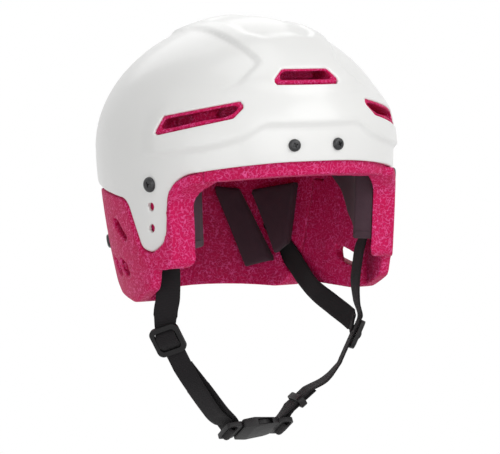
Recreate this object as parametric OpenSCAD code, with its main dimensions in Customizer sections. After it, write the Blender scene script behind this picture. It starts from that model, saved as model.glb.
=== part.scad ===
// Multi-sport helmet: a two-piece hard shell over a moulded foam liner, with comfort pads and a
// webbing chin harness. Millimetres. The front of the helmet faces -Y and +Z is up. The origin is
// the middle of the head opening at the height of the brow edge.
// Outlines given as [y, z] are side views, cut straight through from side to side.

/* [Head form] */
// Overall width of the shell at the brow line
shell_w = 196; // [186:1:210]
// Reach of the shell in front of its widest station
front_len = 112; // [106:1:120]
// Reach of the shell behind its widest station
rear_len = 122; // [116:1:130]
// Height of the crown above the brow line
crown_h = 89; // [84:1:96]

/* [Hard shell] */
// Wall of both shells
shell_t = 2.8; // [2:0.1:3.5]
// Height of the brow edge at the centre
brow_z = -1; // [-4:0.5:2]
// Front edge of the ear tab
tab_front = -57; // [-62:0.5:-54]
// Width of the ear tab at its foot
tab_w = 25; // [20:0.5:30]
// Foot of the ear tab
tab_foot = -63; // [-68:0.5:-58]
// Lower edge of the main shell behind the ear tab
side_edge = -28; // [-32:0.5:-24]
// Rear edge of the main shell at the brow line
main_rear = 52; // [46:1:58]
// Height that the belt stands proud above the screw band
belt_proud = 2.6; // [1:0.1:4]
// Height of the raised centre panel above the side panels
panel_proud = 2.2; // [1:0.1:3]
// Depth of the crown channel between the two ridges
channel_deep = 1.8; // [0.5:0.1:2.5]

/* [Vents] */
// Width of the front vent at its sill
front_vent_w = 44; // [36:1:50]
// Height of the front vent
front_vent_h = 10; // [7:0.5:12]
// Height of the front vent's sill above the brow line
front_vent_z = 47; // [44:0.5:50]
// Length of each side vent
side_vent_len = 60; // [50:1:66]
// Rim of foam that shows round each vent
vent_rim = 2.2; // [1.5:0.1:3.5]

/* [Foam liner] */
// Thickness from the shell's outer face to the liner's inner face
liner_depth = 20; // [17:0.5:23]
// Gap between a shell and the foam under it
foam_gap = 0.4; // [0.3:0.05:0.8]
// Height that the open foam stands proud of the shell at the front
foam_proud = 3; // [1.5:0.1:4]
// Lowest edge of the side lobes
lobe_foot = -100; // [-104:0.5:-95]
// Lowest edge of the foam at the nape
nape_foot = -107; // [-112:0.5:-102]
// Height of the brow strip that shows below the shell
strip_h = 8.5; // [6:0.5:11]
// Gap between neighbouring foam pieces
seam = 0.4; // [0.3:0.1:0.8]

/* [Size adjustment] */
// Travel of the rear section
size_travel = 10; // [6:1:12]
// Overlap of the two shells that is left at full size
shell_lap = 11; // [9:1:14]
// Depth that the rear shell tucks in under the main shell
tuck = 4.6; // [4.5:0.1:5.5]

/* [Pads] */
// Thickness of the comfort pads
pad_t = 6; // [4:0.5:8]
// Clearance of the pads from the foam that carries them
pad_gap = 0.45; // [0.3:0.05:0.8]

/* [Harness] */
// Width of the webbing
web_w = 16; // [14:0.5:17]
// Thickness of the webbing
web_t = 1.4; // [1.2:0.1:1.6]
// Running clearance round the webbing
web_gap = 0.35; // [0.3:0.05:0.5]
// Thickness of the sliders' bars
bar_t = 2.2; // [1.8:0.1:2.6]
// Travel of each slider down its strap
slider_travel = 8; // [4:1:9]
// Travel of the strap keeper to each side
keeper_travel = 4; // [2:1:5]
// Length of the keeper along the strap
keeper_len = 5; // [4:0.5:6]

/* [Buckle] */
// Width of the buckle across the webbing
buckle_w = 24; // [22:0.5:26]
// Thickness of the buckle
buckle_t = 7; // [6.5:0.1:8]
// Length of the socket half's body
socket_len = 28; // [26:0.5:30]
// Squeeze of each prong in degrees
prong_squeeze = 7; // [4:0.5:8]

/* [Fasteners] */
// Head diameter of the front screws
front_head_d = 8; // [7:0.5:9]
// Head diameter of the ear and rear screws
side_head_d = 10; // [9:0.5:11]
// Shank diameter of every screw
shank_d = 4; // [3.5:0.1:4.5]
// Diameter of the open accessory holes in the ear tabs
ear_hole_d = 5.5; // [5:0.1:6.5]

/* [Hidden] */

white = [0.95, 0.95, 0.94];
pink = [0.80, 0.09, 0.36];
pad_black = [0.18, 0.13, 0.15];
web_black = [0.12, 0.11, 0.12];
plastic_black = [0.19, 0.18, 0.19];
screw_black = [0.08, 0.08, 0.09];

half_w = shell_w / 2;
reach = 150;
main_rear_len = 136;
side_pow = 0.6;
front_pow = 0.375;
rear_pow = 0.475;
taper_depth = 92;
main = 0;
body = 1;
rear = 2;
foam = 3;
left = 1;
right = -1;

// Smooth step from 0 at a to 1 at b
function sstep(a, b, t) = let (u = max(0, min(1, (t - a) / (b - a)))) u * u * (3 - 2 * u);
function unit(v) = v / norm(v);

// The head form: a point at turn phi (0 at the front, 90 at the wearer's left) and height z
function above(z) = 1 - pow(max(z, 0) / crown_h, 2);
function taper(phi, z) = let (t = sstep(55, 105, abs(phi) > 180 ? 360 - abs(phi) : abs(phi)))
    1 - (0.03 + 0.10 * t) * pow(max(-z, 0) / taper_depth, 1.6);
function y_len(kind, phi) = cos(phi) > 0 ? front_len : kind == main ? main_rear_len : rear_len;
function form(kind, phi, z) = let (a = above(z), k = taper(phi, z))
    [half_w * pow(a, side_pow) * k * sin(phi),
     -y_len(kind, phi) * pow(a, cos(phi) > 0 ? front_pow : rear_pow) * k * cos(phi), z];
function form_normal(kind, phi, p) = unit([p.x / pow(half_w, 2), p.y / pow(y_len(kind, phi), 2),
    max(p.z, 0) / pow(crown_h, 2)]);

// Height of the belt step and half width of the raised centre panel
function belt_step(x) = lookup(x, [[0, 21.5], [33, 21.5], [44, 13.5], [60, 8], [91, 0]]);
function panel_half(z) = lookup(z, [[43, 56], [46, 46], [60, 29.5], [71, 36], [77, 39]]);
function panel_relief(x, y, z) = let (half = y > -20 ? 39 : panel_half(z))
    panel_proud * sstep(0, 6, half - x) * sstep(40, 50, z);
function channel_relief(x, y) = let (half = 15 + 8 * sstep(-70, -50, y))
    -channel_deep * (1 - sstep(half - 2, half + 5, x)) * sstep(-72, -62, y) * (1 - sstep(5, 25, y));
function belt_relief(x, y, z) = let (s = belt_step(x))
    belt_proud * sstep(s - 2, s + 2, z) * (1 - sstep(24, 46, z)) * (1 - sstep(-55, -36, y));
function tuck_relief(y, z) = -tuck * (1 - sstep(main_rear + 6, main_rear + 26, y))
    * sstep(side_edge - 6, side_edge - 2.5, z);
function relief(kind, p) = let (x = abs(p.x))
    kind == main ? panel_relief(x, p.y, p.z) + channel_relief(x, p.y) + belt_relief(x, p.y, p.z) :
    kind == rear ? tuck_relief(p.y, p.z) :
    kind == foam ? 0.6 + foam_proud * (1 - sstep(-48, -10, p.y)) : 0;
function skin_point(kind, off, phi, z) = let (p = form(kind, phi, z), n = form_normal(kind, phi, p))
    p + n * (off + relief(kind, p));
// A point on the surface and the true normal there
function surface_frame(kind, phi, z) = [skin_point(kind, 0, phi, z),
    unit(cross(skin_point(kind, 0, phi + 1, z) - skin_point(kind, 0, phi - 1, z),
        skin_point(kind, 0, phi, z + 1) - skin_point(kind, 0, phi, z - 1)))];

// Columns and rows of the skins: pieces that lie on each other share them, so their faces run parallel
main_cols = 54;
main_rows = 12;
rear_cols = 44;
rear_rows = 8;
low_step = 10;

// A closed wall between two offset copies of the head form, open at its foot
module skin(kind_out, out, kind_in, in, foot, cols = main_cols, rows = main_rows, row_step = low_step) {
    zs = concat([for (i = [1 : rows]) crown_h * cos(90 * i / rows)],
        [for (z = [-row_step : -row_step : foot + 1]) z], foot < 0 ? [foot] : []);
    nz = len(zs);
    ring = [for (z = zs) for (j = [0 : cols - 1]) [j * 360 / cols - 180, z]];
    outer = concat([skin_point(kind_out, out, 0, crown_h)],
        [for (q = ring) skin_point(kind_out, out, q[0], q[1])]);
    inner = concat([skin_point(kind_in, in, 0, crown_h)],
        [for (q = ring) skin_point(kind_in, in, q[0], q[1])]);
    n = len(outer);
    function at(i, j) = 1 + i * cols + j % cols;
    polyhedron(concat(outer, inner), concat(
        [for (j = [0 : cols - 1]) [0, at(0, j + 1), at(0, j)]],
        [for (i = [0 : nz - 2]) for (j = [0 : cols - 1]) each
            [[at(i, j), at(i, j + 1), at(i + 1, j + 1)], [at(i, j), at(i + 1, j + 1), at(i + 1, j)]]],
        [for (j = [0 : cols - 1]) [n, n + at(0, j), n + at(0, j + 1)]],
        [for (i = [0 : nz - 2]) for (j = [0 : cols - 1]) each
            [[n + at(i, j), n + at(i + 1, j + 1), n + at(i, j + 1)],
             [n + at(i, j), n + at(i + 1, j), n + at(i + 1, j + 1)]]],
        [for (j = [0 : cols - 1]) each
            [[at(nz - 1, j), at(nz - 1, j + 1), n + at(nz - 1, j + 1)],
             [at(nz - 1, j), n + at(nz - 1, j + 1), n + at(nz - 1, j)]]]), convexity = 8);
}

// An outline whose third numbers are corner radii
function corner(a, b, c, r) = let (
    u = unit(a - b), v = unit(c - b), half = acos(max(-1, min(1, u * v))) / 2,
    d = min(r / tan(half), 0.48 * min(norm(a - b), norm(c - b))), rr = d * tan(half),
    m = b + unit(u + v) * rr / sin(half), p = b + u * d - m, q = b + v * d - m,
    a0 = atan2(p.y, p.x), turn = atan2(q.y, q.x) - a0,
    da = turn > 180 ? turn - 360 : turn < -180 ? turn + 360 : turn)
    [for (i = [0 : 5]) m + rr * [cos(a0 + da * i / 5), sin(a0 + da * i / 5)]];
function rounded(pts) = let (n = len(pts)) [for (i = [0 : n - 1])
    let (a = pts[(i + n - 1) % n], b = pts[i], c = pts[(i + 1) % n])
    each b[2] > 0 ? corner([a.x, a.y], [b.x, b.y], [c.x, c.y], b[2]) : [[b.x, b.y]]];

// A side-view outline taken through from side to side
module side_cut(outline, grow = 0) rotate([90, 0, 90]) linear_extrude(2 * reach, center = true)
    offset(delta = grow) polygon(rounded(outline));

// An outline in [along, z] seen square-on from turn phi, taken through the wall there
module face_cut(phi, outline, near = 50, far = 150, grow = 0) rotate([90, 0, phi])
    translate([0, 0, near]) linear_extrude(far - near) offset(delta = grow) polygon(rounded(outline));

module half(side) intersection() {
    children();
    translate([side * reach / 2, 0, 0]) cube([reach, 4 * reach, 4 * reach], center = true);
}

tab_rear = tab_front + tab_w + 1;
main_outline = [[-reach, brow_z, 0], [-front_len, brow_z, 40], [tab_front, brow_z - 12, 19],
    [tab_front + 3, tab_foot, 9], [tab_rear, tab_foot, 7], [tab_rear + 10, side_edge - 2, 12],
    [20, side_edge, 20], [main_rear, side_edge + 3, 6], [main_rear - 14, reach, 0], [-reach, reach, 0]];

// Parting planes of the foam
split_z = brow_z + 3;
seam_y = -79;
rear_shell_front = main_rear - size_travel - shell_lap;
liner_rear = rear_shell_front - 4;
lobe_rear = liner_rear + 11;
foam_out = -shell_t - foam_gap;
side_outline = [[seam_y + seam / 2, split_z - seam / 2, 0], [seam_y + seam / 2, brow_z - 15, 0],
    [tab_front - 3, brow_z - 18, 16], [tab_front - 1.5, tab_foot - 3, 12],
    [tab_front + 14, tab_foot - 24, 18], [-20, lobe_foot, 26], [lobe_rear - 16, lobe_foot, 14],
    [lobe_rear, lobe_foot + 7, 5],
    [lobe_rear, side_edge, 0], [liner_rear, side_edge, 0], [liner_rear, split_z - seam / 2, 0]];
rear_outline = [[liner_rear + seam, reach, 0], [liner_rear + seam, side_edge + seam, 0],
    [lobe_rear + seam, side_edge + seam, 0], [lobe_rear + seam, lobe_foot + 12, 8],
    [lobe_rear + 12, nape_foot, 10], [reach, nape_foot, 0], [reach, reach, 0]];
rear_shell_outline = [[rear_shell_front, reach, 0], [rear_shell_front, side_edge + 5, 3],
    [lobe_rear + 8, side_edge + 2, 6], [lobe_rear + 8, tab_foot - 15, 10], [80, tab_foot - 24, 20],
    [reach, tab_foot - 28, 0], [reach, reach, 0]];

front_vent = [[-front_vent_w / 2, front_vent_z, 1.2], [-front_vent_w / 2 - 1, front_vent_z + 3, 2],
    [-front_vent_w / 2 + 6, front_vent_z + front_vent_h, 3],
    [front_vent_w / 2 - 6, front_vent_z + front_vent_h, 3],
    [front_vent_w / 2 + 1, front_vent_z + 3, 2], [front_vent_w / 2, front_vent_z, 1.2]];
vent_a = -side_vent_len * 0.43;
vent_b = side_vent_len * 0.55;
// Seen square-on from the right front corner; the low end is towards the ear
side_vent = [[vent_a, 15, 2], [vent_a + 7, 26.5, 3], [vent_b, 36.8, 2], [vent_b + 4, 33.4, 2],
    [vent_b - 2, 26, 2], [vent_a + 3, 14, 2]];
side_vent_turn = -45;
side_vent_back = [[vent_a + 6, 17.5, 1], [vent_a + 12, 24.6, 2], [vent_a + 25, 27, 1],
    [vent_a + 20, 20.2, 1]];
side_vent_fore = [[vent_b - 22, 24.2, 1], [vent_b - 17, 31, 1], [vent_b - 3, 33.6, 1], [vent_b - 7, 26.6, 1]];
rear_vent = [[-13, 20, 3], [-17, 31, 3], [13, 37, 3], [17, 27, 3]];
rear_vent_turn = 148;

module mirrored() {
    children();
    mirror([1, 0, 0]) children();
}

module vent_openings(grow) {
    face_cut(0, front_vent, grow = grow);
    mirrored() face_cut(side_vent_turn, side_vent, grow = grow);
}

module vent_channels() {
    face_cut(0, front_vent, grow = -vent_rim);
    mirrored() {
        intersection() {
            face_cut(side_vent_turn, side_vent, grow = -vent_rim / 2);
            skin(body, 20, body, -liner_depth / 2, 0, 48, 9);
        }
        face_cut(side_vent_turn, side_vent_back);
        face_cut(side_vent_turn, side_vent_fore);
    }
}

// Screw and hole stations: [kind, turn, height]
front_station = [main, 9, 9];
ear_station = [main, 65, -18.5];
hole_stations = [[main, 65, -33], [main, 65, -47]];
rear_station = [rear, 118, -67];

// Places children on the skin at a station, with local +Z pointing out of the helmet
module at_station(s, side) {
    f = surface_frame(s[0], side * s[1], s[2]);
    translate(f[0]) rotate([0, acos(f[1].z), atan2(f[1].y, f[1].x)]) children();
}
module both_sides(s) for (side = [left, right]) at_station(s, side) children();

module bore(d, in = 9, out = 6) translate([0, 0, -in]) cylinder(d = d, h = in + out, $fn = 32);

module main_shell() color(white) difference() {
    resize([0, 0, 0]) difference() {
        intersection() {
            skin(main, 0, main, -shell_t, tab_foot - 3);
            side_cut(main_outline);
        }
        vent_openings(0);
    }
    both_sides(front_station) bore(shank_d + 1);
    both_sides(ear_station) bore(shank_d + 1);
    for (s = hole_stations) both_sides(s) bore(ear_hole_d);
}

module rear_shell() color(white) difference() {
    resize([0, 0, 0]) difference() {
        intersection() {
            skin(rear, 0, rear, -shell_t, tab_foot - 30, rear_cols, rear_rows);
            side_cut(rear_shell_outline);
        }
        mirrored() face_cut(rear_vent_turn, rear_vent);
    }
    both_sides(rear_station) bore(shank_d + 1);
}

nut_pocket_d = 12.6;
nut_pocket_deep = 13;

module crown_liner() color(pink) difference() {
    resize([0, 0, 0]) difference() {
        intersection() {
            skin(main, foam_out, body, -liner_depth, 0);
            side_cut([[-reach, split_z + seam / 2, 0], [liner_rear, split_z + seam / 2, 0],
                [liner_rear, reach, 0], [-reach, reach, 0]]);
        }
        vent_channels();
    }
    both_sides(front_station) bore(nut_pocket_d, nut_pocket_deep + shell_t, 0);
}

module brow_strip() color(pink) resize([0, 0, 0]) intersection() {
    skin(body, foam_out, body, -liner_depth + 4, -30, main_cols, 6, 6);
    side_cut([[-reach, split_z - seam / 2, 0], [seam_y - seam / 2, split_z - seam / 2, 0],
        [seam_y - seam / 2, brow_z - 7 - strip_h, 0], [-front_len, brow_z - strip_h, 30],
        [-reach, brow_z - strip_h, 0]]);
}

// Recesses in the open foam behind the ear tab, seen from the side
recess_upper = [[-22, -57, 3], [-14, -60, 2], [11, -49, 4], [13, -43, 3], [0, -44, 4]];
recess_lower = [[-20, -82, 2], [-12, -83, 2], [-2, -76, 3], [-4, -70, 2], [-18, -75, 3]];

module side_liner(side) color(pink) difference() {
    resize([0, 0, 0]) half(side) difference() {
        intersection() {
            skin(foam, 0, body, -liner_depth, lobe_foot - 6);
            side_cut(side_outline);
        }
        intersection() {
            skin(main, 14, main, foam_out, tab_foot - 6);
            side_cut(main_outline, 1.2);
        }
        intersection() {
            skin(body, 14, body, -9, lobe_foot - 4, 48, 5, 12);
            side_cut(recess_upper);
        }
        side_cut(recess_lower);
        webbing(front_route(side), web_w + 1.4, web_t + 1.4);
    }
    at_station(ear_station, side) bore(anchor_w + 1.2, anchor_in + anchor_t + 0.3, 0);
    at_station(ear_station, side) bore(nut_pocket_d, nut_pocket_deep + shell_t, 0);
}

module rear_liner() color(pink) difference() {
    resize([0, 0, 0]) difference() {
        intersection() {
            skin(rear, foam_out, body, -liner_depth, nape_foot - 6, rear_cols, rear_rows);
            side_cut(rear_outline);
        }
        mirrored() face_cut(rear_vent_turn, rear_vent, grow = -vent_rim);
        for (side = [left, right]) webbing([for (i = [0 : 4]) rear_route(side)[i]], web_w + 1.4, web_t + 3);
    }
    both_sides(rear_station) bore(nut_pocket_d, nut_pocket_deep + shell_t, 0);
}

pad_out = -liner_depth - pad_gap;
pad_cols = 36;
module pad(foot) color(pad_black) resize([0, 0, 0]) intersection() {
    skin(body, pad_out, body, pad_out - pad_t, foot, pad_cols, rear_rows);
    children();
}

module brow_pad() pad(0) face_cut(0,
    [[-38, split_z + 2, 6], [-38, 30, 6], [38, 30, 6], [38, split_z + 2, 6]]);
module crown_pad() pad(0) translate([0, 0, 40]) linear_extrude(60)
    polygon(rounded([[-14, -48, 12], [14, -48, 12], [44, -10, 12], [30, 20, 12], [-30, 20, 12],
        [-44, -10, 12]]));
module temple_pad(side) pad(tab_foot - 12) half(side) side_cut([[-46, -3, 3], [21, -3, 4], [21, -21, 4],
    [-5, -33, 20], [-24, -48, 20], [-36, -63, 2], [-46, -63, 2]]);
module nape_pad(side) pad(nape_foot + 2) face_cut(side * 157, [[side * 25, -36, 2], [side * 2, -38, 2],
    [-side * 23.6, -87, 2], [-side * 3.5, -93, 2]]);
module rear_side_pad(side) pad(lobe_foot + 5) intersection() {
    face_cut(side * 134, [[side * 28, -38.6, 2], [-side * 15.4, -31, 2], [-side * 11.6, -74.5, 2],
        [side * 1.5, -83.5, 2]]);
    translate([-reach, lobe_rear + 2, -reach]) cube([2 * reach, reach, 2 * reach]);
}

// Screw: a domed head with a flange seat and a straight shank; its cross recess is left to finish
shank_len = 11;
head_h = 2.4;
head_seat = 0.25;
module screw(head_d) color(screw_black) rotate_extrude($fn = 32) polygon([[0, -shank_len],
    [shank_d / 2, -shank_len], [shank_d / 2, head_seat], [head_d / 2, head_seat], [head_d / 2, head_h - 1.4],
    [head_d / 2 - 0.5, head_h - 0.6], [head_d * 0.3, head_h], [0, head_h]]);
nut_len = 7.5;
nut_flange = 1.2;
nut_wall = 1.15;
thread_gap = 0.15;
module t_nut() color(screw_black) translate([0, 0, -anchor_in - anchor_t - 0.4]) {
    r = shank_d / 2 + thread_gap;
    flange_r = nut_pocket_d / 2 - 0.3;
    rotate_extrude($fn = 32) polygon([[r, -nut_len], [r + nut_wall, -nut_len], [r + nut_wall, -nut_flange],
        [flange_r, -nut_flange], [flange_r, 0], [r, 0]]);
}

module front_screws() both_sides(front_station) screw(front_head_d);
module front_t_nuts() both_sides(front_station) t_nut();
module ear_screws() both_sides(ear_station) screw(side_head_d);
module ear_t_nuts() both_sides(ear_station) t_nut();
module rear_screws() both_sides(rear_station) screw(side_head_d);
module rear_t_nuts() both_sides(rear_station) t_nut();

anchor_w = 18;
anchor_t = 1.4;
anchor_in = shell_t + foam_gap + 0.5;
module ear_anchor_plates() color(plastic_black) both_sides(ear_station)
    translate([0, 0, -anchor_in - anchor_t]) difference() {
        cylinder(d = anchor_w, h = anchor_t, $fn = 40);
        translate([0, 0, -1]) cylinder(d = shank_d + 0.6, h = anchor_t + 2, $fn = 32);
    }

// Webbing: a flat ribbon swept along a smooth curve through hand-placed stations.
// Each station is [point, direction of the width]; stretches longer than a step are divided.
web_step = 5;
function slope(p, i) = let (a = p[max(i - 1, 0)], b = p[min(i + 1, len(p) - 1)])
    (b - a) / (norm(p[i] - a) + norm(b - p[i]));
function curve_at(p, i, u) = let (h = norm(p[i + 1] - p[i]), v = 1 - u)
    p[i] * v * v * (1 + 2 * u) + p[i + 1] * u * u * (3 - 2 * u)
    + (slope(p, i) * v - slope(p, i + 1) * u) * h * u * v;
function ribbon_rings(route) = let (p = [for (s = route) s[0]], n = len(route)) concat(
    [for (i = [0 : n - 2]) let (k = max(1, round(norm(p[i + 1] - p[i]) / web_step))) for (j = [0 : k - 1])
        [curve_at(p, i, j / k), route[i][1] * (1 - j / k) + route[i + 1][1] * j / k]],
    [route[n - 1]]);
module webbing(route, w = web_w, t = web_t) {
    rings = ribbon_rings(route);
    n = len(rings);
    points = [for (i = [0 : n - 1]) let (
        mid = rings[i][0], before = mid - rings[max(i - 1, 0)][0], after = rings[min(i + 1, n - 1)][0] - mid,
        along = i == 0 ? unit(after) : i == n - 1 ? unit(before) : unit(unit(before) + unit(after)),
        a = unit(rings[i][1] - along * (rings[i][1] * along)), f = cross(along, a))
        each [mid - a * w / 2 - f * t / 2, mid + a * w / 2 - f * t / 2,
              mid + a * w / 2 + f * t / 2, mid - a * w / 2 + f * t / 2]];
    polyhedron(points, concat([[0, 1, 2], [0, 2, 3]],
        [for (i = [0 : n - 2]) for (k = [0 : 3]) let (a = 4 * i + k, b = 4 * i + (k + 1) % 4)
            each [[a, a + 4, b + 4], [a, b + 4, b]]],
        [[4 * n - 4, 4 * n - 2, 4 * n - 3], [4 * n - 4, 4 * n - 1, 4 * n - 2]]), convexity = 6);
}

// Slider stations: the centre, the way down the strap, across it and out of the helmet
slider_len = 22;
layer = web_t + 0.6;
function slider_mid(side) = side == left ? [69, -33, -130] : [-71, -33, -124];
function slider_down(side) = unit([-side * 0.45, 0, -0.89]);
function slider_across(side) = let (a = slider_down(side), w = [side * 0.36, 0.93, 0]) unit(w - a * (w * a));
function slider_out(side) = cross(slider_down(side), slider_across(side)) * side;
function slider_at(side, d, out = 0) = slider_mid(side) + slider_down(side) * d + slider_out(side) * out;
// The webbing runs straight from above the slider to where the slider's travel ends
straight_top = -slider_len / 2 - 1;
straight_end = slider_len / 2 + slider_travel + 1;

// Buckle frame: X from the plug to the socket, Y across the webbing, Z up towards the chin
buckle_mid = [0, -30, -190];
buckle_tilt = 12;
socket_end = 9;
socket_start = socket_end - socket_len;
plate_t = 3.2;
ladder_len = 11;
ladder_start = socket_start - 0.4 - ladder_len;
slot_w = 2.4;
web_bar = 2.4;
slot_near = 1.4;
slot_far = slot_near + slot_w + web_bar;
module in_buckle() translate(buckle_mid) rotate([-buckle_tilt, 0, 0]) children();
function in_buckle_point(p) = buckle_mid + [p.x, p.y * cos(buckle_tilt) + p.z * sin(buckle_tilt),
    -p.y * sin(buckle_tilt) + p.z * cos(buckle_tilt)];
function buckle_station(x, z) = [in_buckle_point([x, 0, z]), [0, cos(buckle_tilt), -sin(buckle_tilt)]];
// Down through one slot, round under the bar in a half turn, and up through the other
function bar_turn(x0, x1) = let (r = (x1 - x0) / 2) concat([for (z = [4.5, 1]) buckle_station(x0, z)],
    [for (a = [180 : 36 : 360]) buckle_station((x0 + x1) / 2 + r * cos(a), -plate_t / 2 + 0.4 + r * sin(a))],
    [for (z = [1, 4.5]) buckle_station(x1, z)]);

keeper_mid = [25, -31.5, -173];
keeper_down = unit([-0.79, 0.03, -0.61]);
keeper_across = let (w = [0, 1, -0.1]) unit(w - keeper_down * (w * keeper_down));
keeper_out = cross(keeper_down, keeper_across);
function keeper_station(d, out) = [keeper_mid + keeper_down * d + keeper_out * out, keeper_across];
// The webbing runs straight over the keeper's whole travel
keeper_run = keeper_len / 2 + keeper_travel + 0.3;

function anchor_top(side) = let (f = surface_frame(main, side * 65, -26))
    [f[0] - f[1] * (anchor_in + anchor_t + web_t / 2 + 0.3), [side * 0.36, 0.93, 0]];
function slider_run(side, out, ends) = [for (d = ends) [slider_at(side, d, out), slider_across(side)]];
function front_route(side) = let (w = [side * 0.36, 0.93, 0]) concat([anchor_top(side),
     [[side * 79.5, -38, -50], w],
     [[side * 76, -35.5, -76], w],
     [[side * 75.5, -34, side == left ? -98 : -94], w]],
     slider_run(side, layer / 2, [straight_top - 2, straight_top, 0, straight_end, straight_end + 3]));
// The rear strap's stations give the way that its face looks; its width lies across that and the route.
// Their first numbers are shares of the half width, so that the strap stays inside the foam.
rear_points = [[[0.489, 72.4, -62], [0.77, 0.63, 0]], [[0.535, 63.5, -71], [0.81, 0.58, 0]],
    [[0.568, 55.6, -79], [0.86, 0.5, 0]], [[0.586, 45, -86], [0.9, 0.42, -0.05]],
    [[0.59, 30, -95], [0.94, 0.34, -0.1]], [[0.603, 12, -104.5], [0.97, 0.2, 0]]];
// Room between the side lobe's foot and the upper edge of the strap that passes under it
lobe_room = 6.5;
function flipped(side, p) = [side * p.x, p.y, p.z];
function rear_bend(side) = let (top = slider_at(side, straight_top, -layer / 2) + [-side * 1.5, 7.5, 7])
    [[[top.x - side * 5, top.y + 17, min(top.z + 3, lobe_foot - web_w / 2 - lobe_room)],
      [side * 0.95, -0.1, -0.2]], [top, slider_out(side)]];
function rear_route(side) = let (
    pts = concat([for (q = rear_points) [[side * half_w * q[0].x, q[0].y, q[0].z], flipped(side, q[1])]],
        rear_bend(side)),
    n = len(pts), ends = concat(slider_run(side, -layer / 2 - 0.5, [straight_top]),
        slider_run(side, -layer / 2, [straight_top + 4, 2, straight_end - 2.5, straight_end - 0.5])))
    concat([for (i = [0 : n - 1]) let (next = i < n - 1 ? pts[i + 1][0] : ends[0][0])
        [pts[i][0], unit(cross(pts[i][1], next - pts[i][0])) * side]], ends);
function chin_route(side) = side == right ?
    concat([[[-50, -33, -160], [-0.25, 0.97, 0]], [[-38, -31.5, -176.5], [-0.1, 0.98, -0.1]]],
        bar_turn(ladder_start + slot_near + slot_w / 2, ladder_start + slot_far + slot_w / 2),
        [[[-33.5, -31.5, -175], [-0.1, 0.98, -0.1]], [[-46.4, -33, -158.5], [-0.25, 0.97, 0]],
         [slider_at(side, straight_end + 3.5, -layer / 2), slider_across(side)],
         [slider_at(side, straight_end + 1.2, -layer / 2), slider_across(side)]]) :
    concat([[[45, -33, -160], [0.25, 0.97, 0]]],
        [for (d = [-keeper_run - 3.5, -keeper_run, 0, keeper_run, keeper_run + 2])
            keeper_station(d, -layer / 2)],
        bar_turn(socket_end + slot_near + slot_w / 2, socket_end + slot_far + slot_w / 2),
        [for (d = [keeper_run + 2, keeper_run, 0, -keeper_run, -keeper_run - 6])
            keeper_station(d, layer / 2)]);

// The front strap runs from the ear anchor through the slider to the buckle in one length
module front_strap(side) color(web_black) webbing(concat(front_route(side), chin_route(side)));
module rear_strap(side) color(web_black) webbing(rear_route(side));

// Slider: webbing runs straight through, behind the two end bars and in front of the middle bar
module strap_slider(side) color(plastic_black) {
    d = slider_down(side);
    a = slider_across(side);
    out = slider_out(side);
    m = slider_mid(side);
    s = side;
    multmatrix([[-s * a.x, d.x, out.x, m.x], [-s * a.y, d.y, out.y, m.y], [-s * a.z, d.z, out.z, m.z]])
        slider_frame();
}
module slider_frame() {
    half_gap = layer / 2 + web_t / 2 + web_gap;
    inner = web_w + 2 * web_gap;
    outer = inner + 2 * bar_t;
    translate([0, 0, half_gap]) linear_extrude(bar_t) difference() {
        polygon(rounded(box_outline(outer, slider_len, 4)));
        polygon(rounded(box_outline(inner, slider_len - 7.2, 1.5)));
    }
    difference() {
        translate([0, 0, -half_gap - bar_t]) linear_extrude(2 * half_gap + bar_t)
            polygon(rounded(box_outline(outer, slider_len - 5, 2)));
        cube([inner, slider_len, 2 * half_gap], center = true);
        for (s = [-1, 1]) translate([0, s * (slider_len / 2 + bar_t), -half_gap])
            cube([inner, slider_len, 3 * bar_t], center = true);
    }
}
function box_outline(w, l, r) = [for (c = [[-1, -1], [1, -1], [1, 1], [-1, 1]]) [c.x * w / 2, c.y * l / 2, r]];

// Keeper: an oval loop round both layers of the webbing
module strap_keeper() color(plastic_black) {
    d = keeper_down;
    a = keeper_across;
    o = keeper_out;
    m = keeper_mid;
    gap = 2 * layer + web_gap;
    multmatrix([[a.x, o.x, d.x, m.x], [a.y, o.y, d.y, m.y], [a.z, o.z, d.z, m.z]])
        translate([0, 0, -keeper_len / 2]) linear_extrude(keeper_len) difference() {
            polygon(rounded(box_outline(web_w + 2 * web_gap + 4, gap + 3.6, 3)));
            polygon(rounded(box_outline(web_w + 2 * web_gap, gap, 1)));
        }
}

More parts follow.
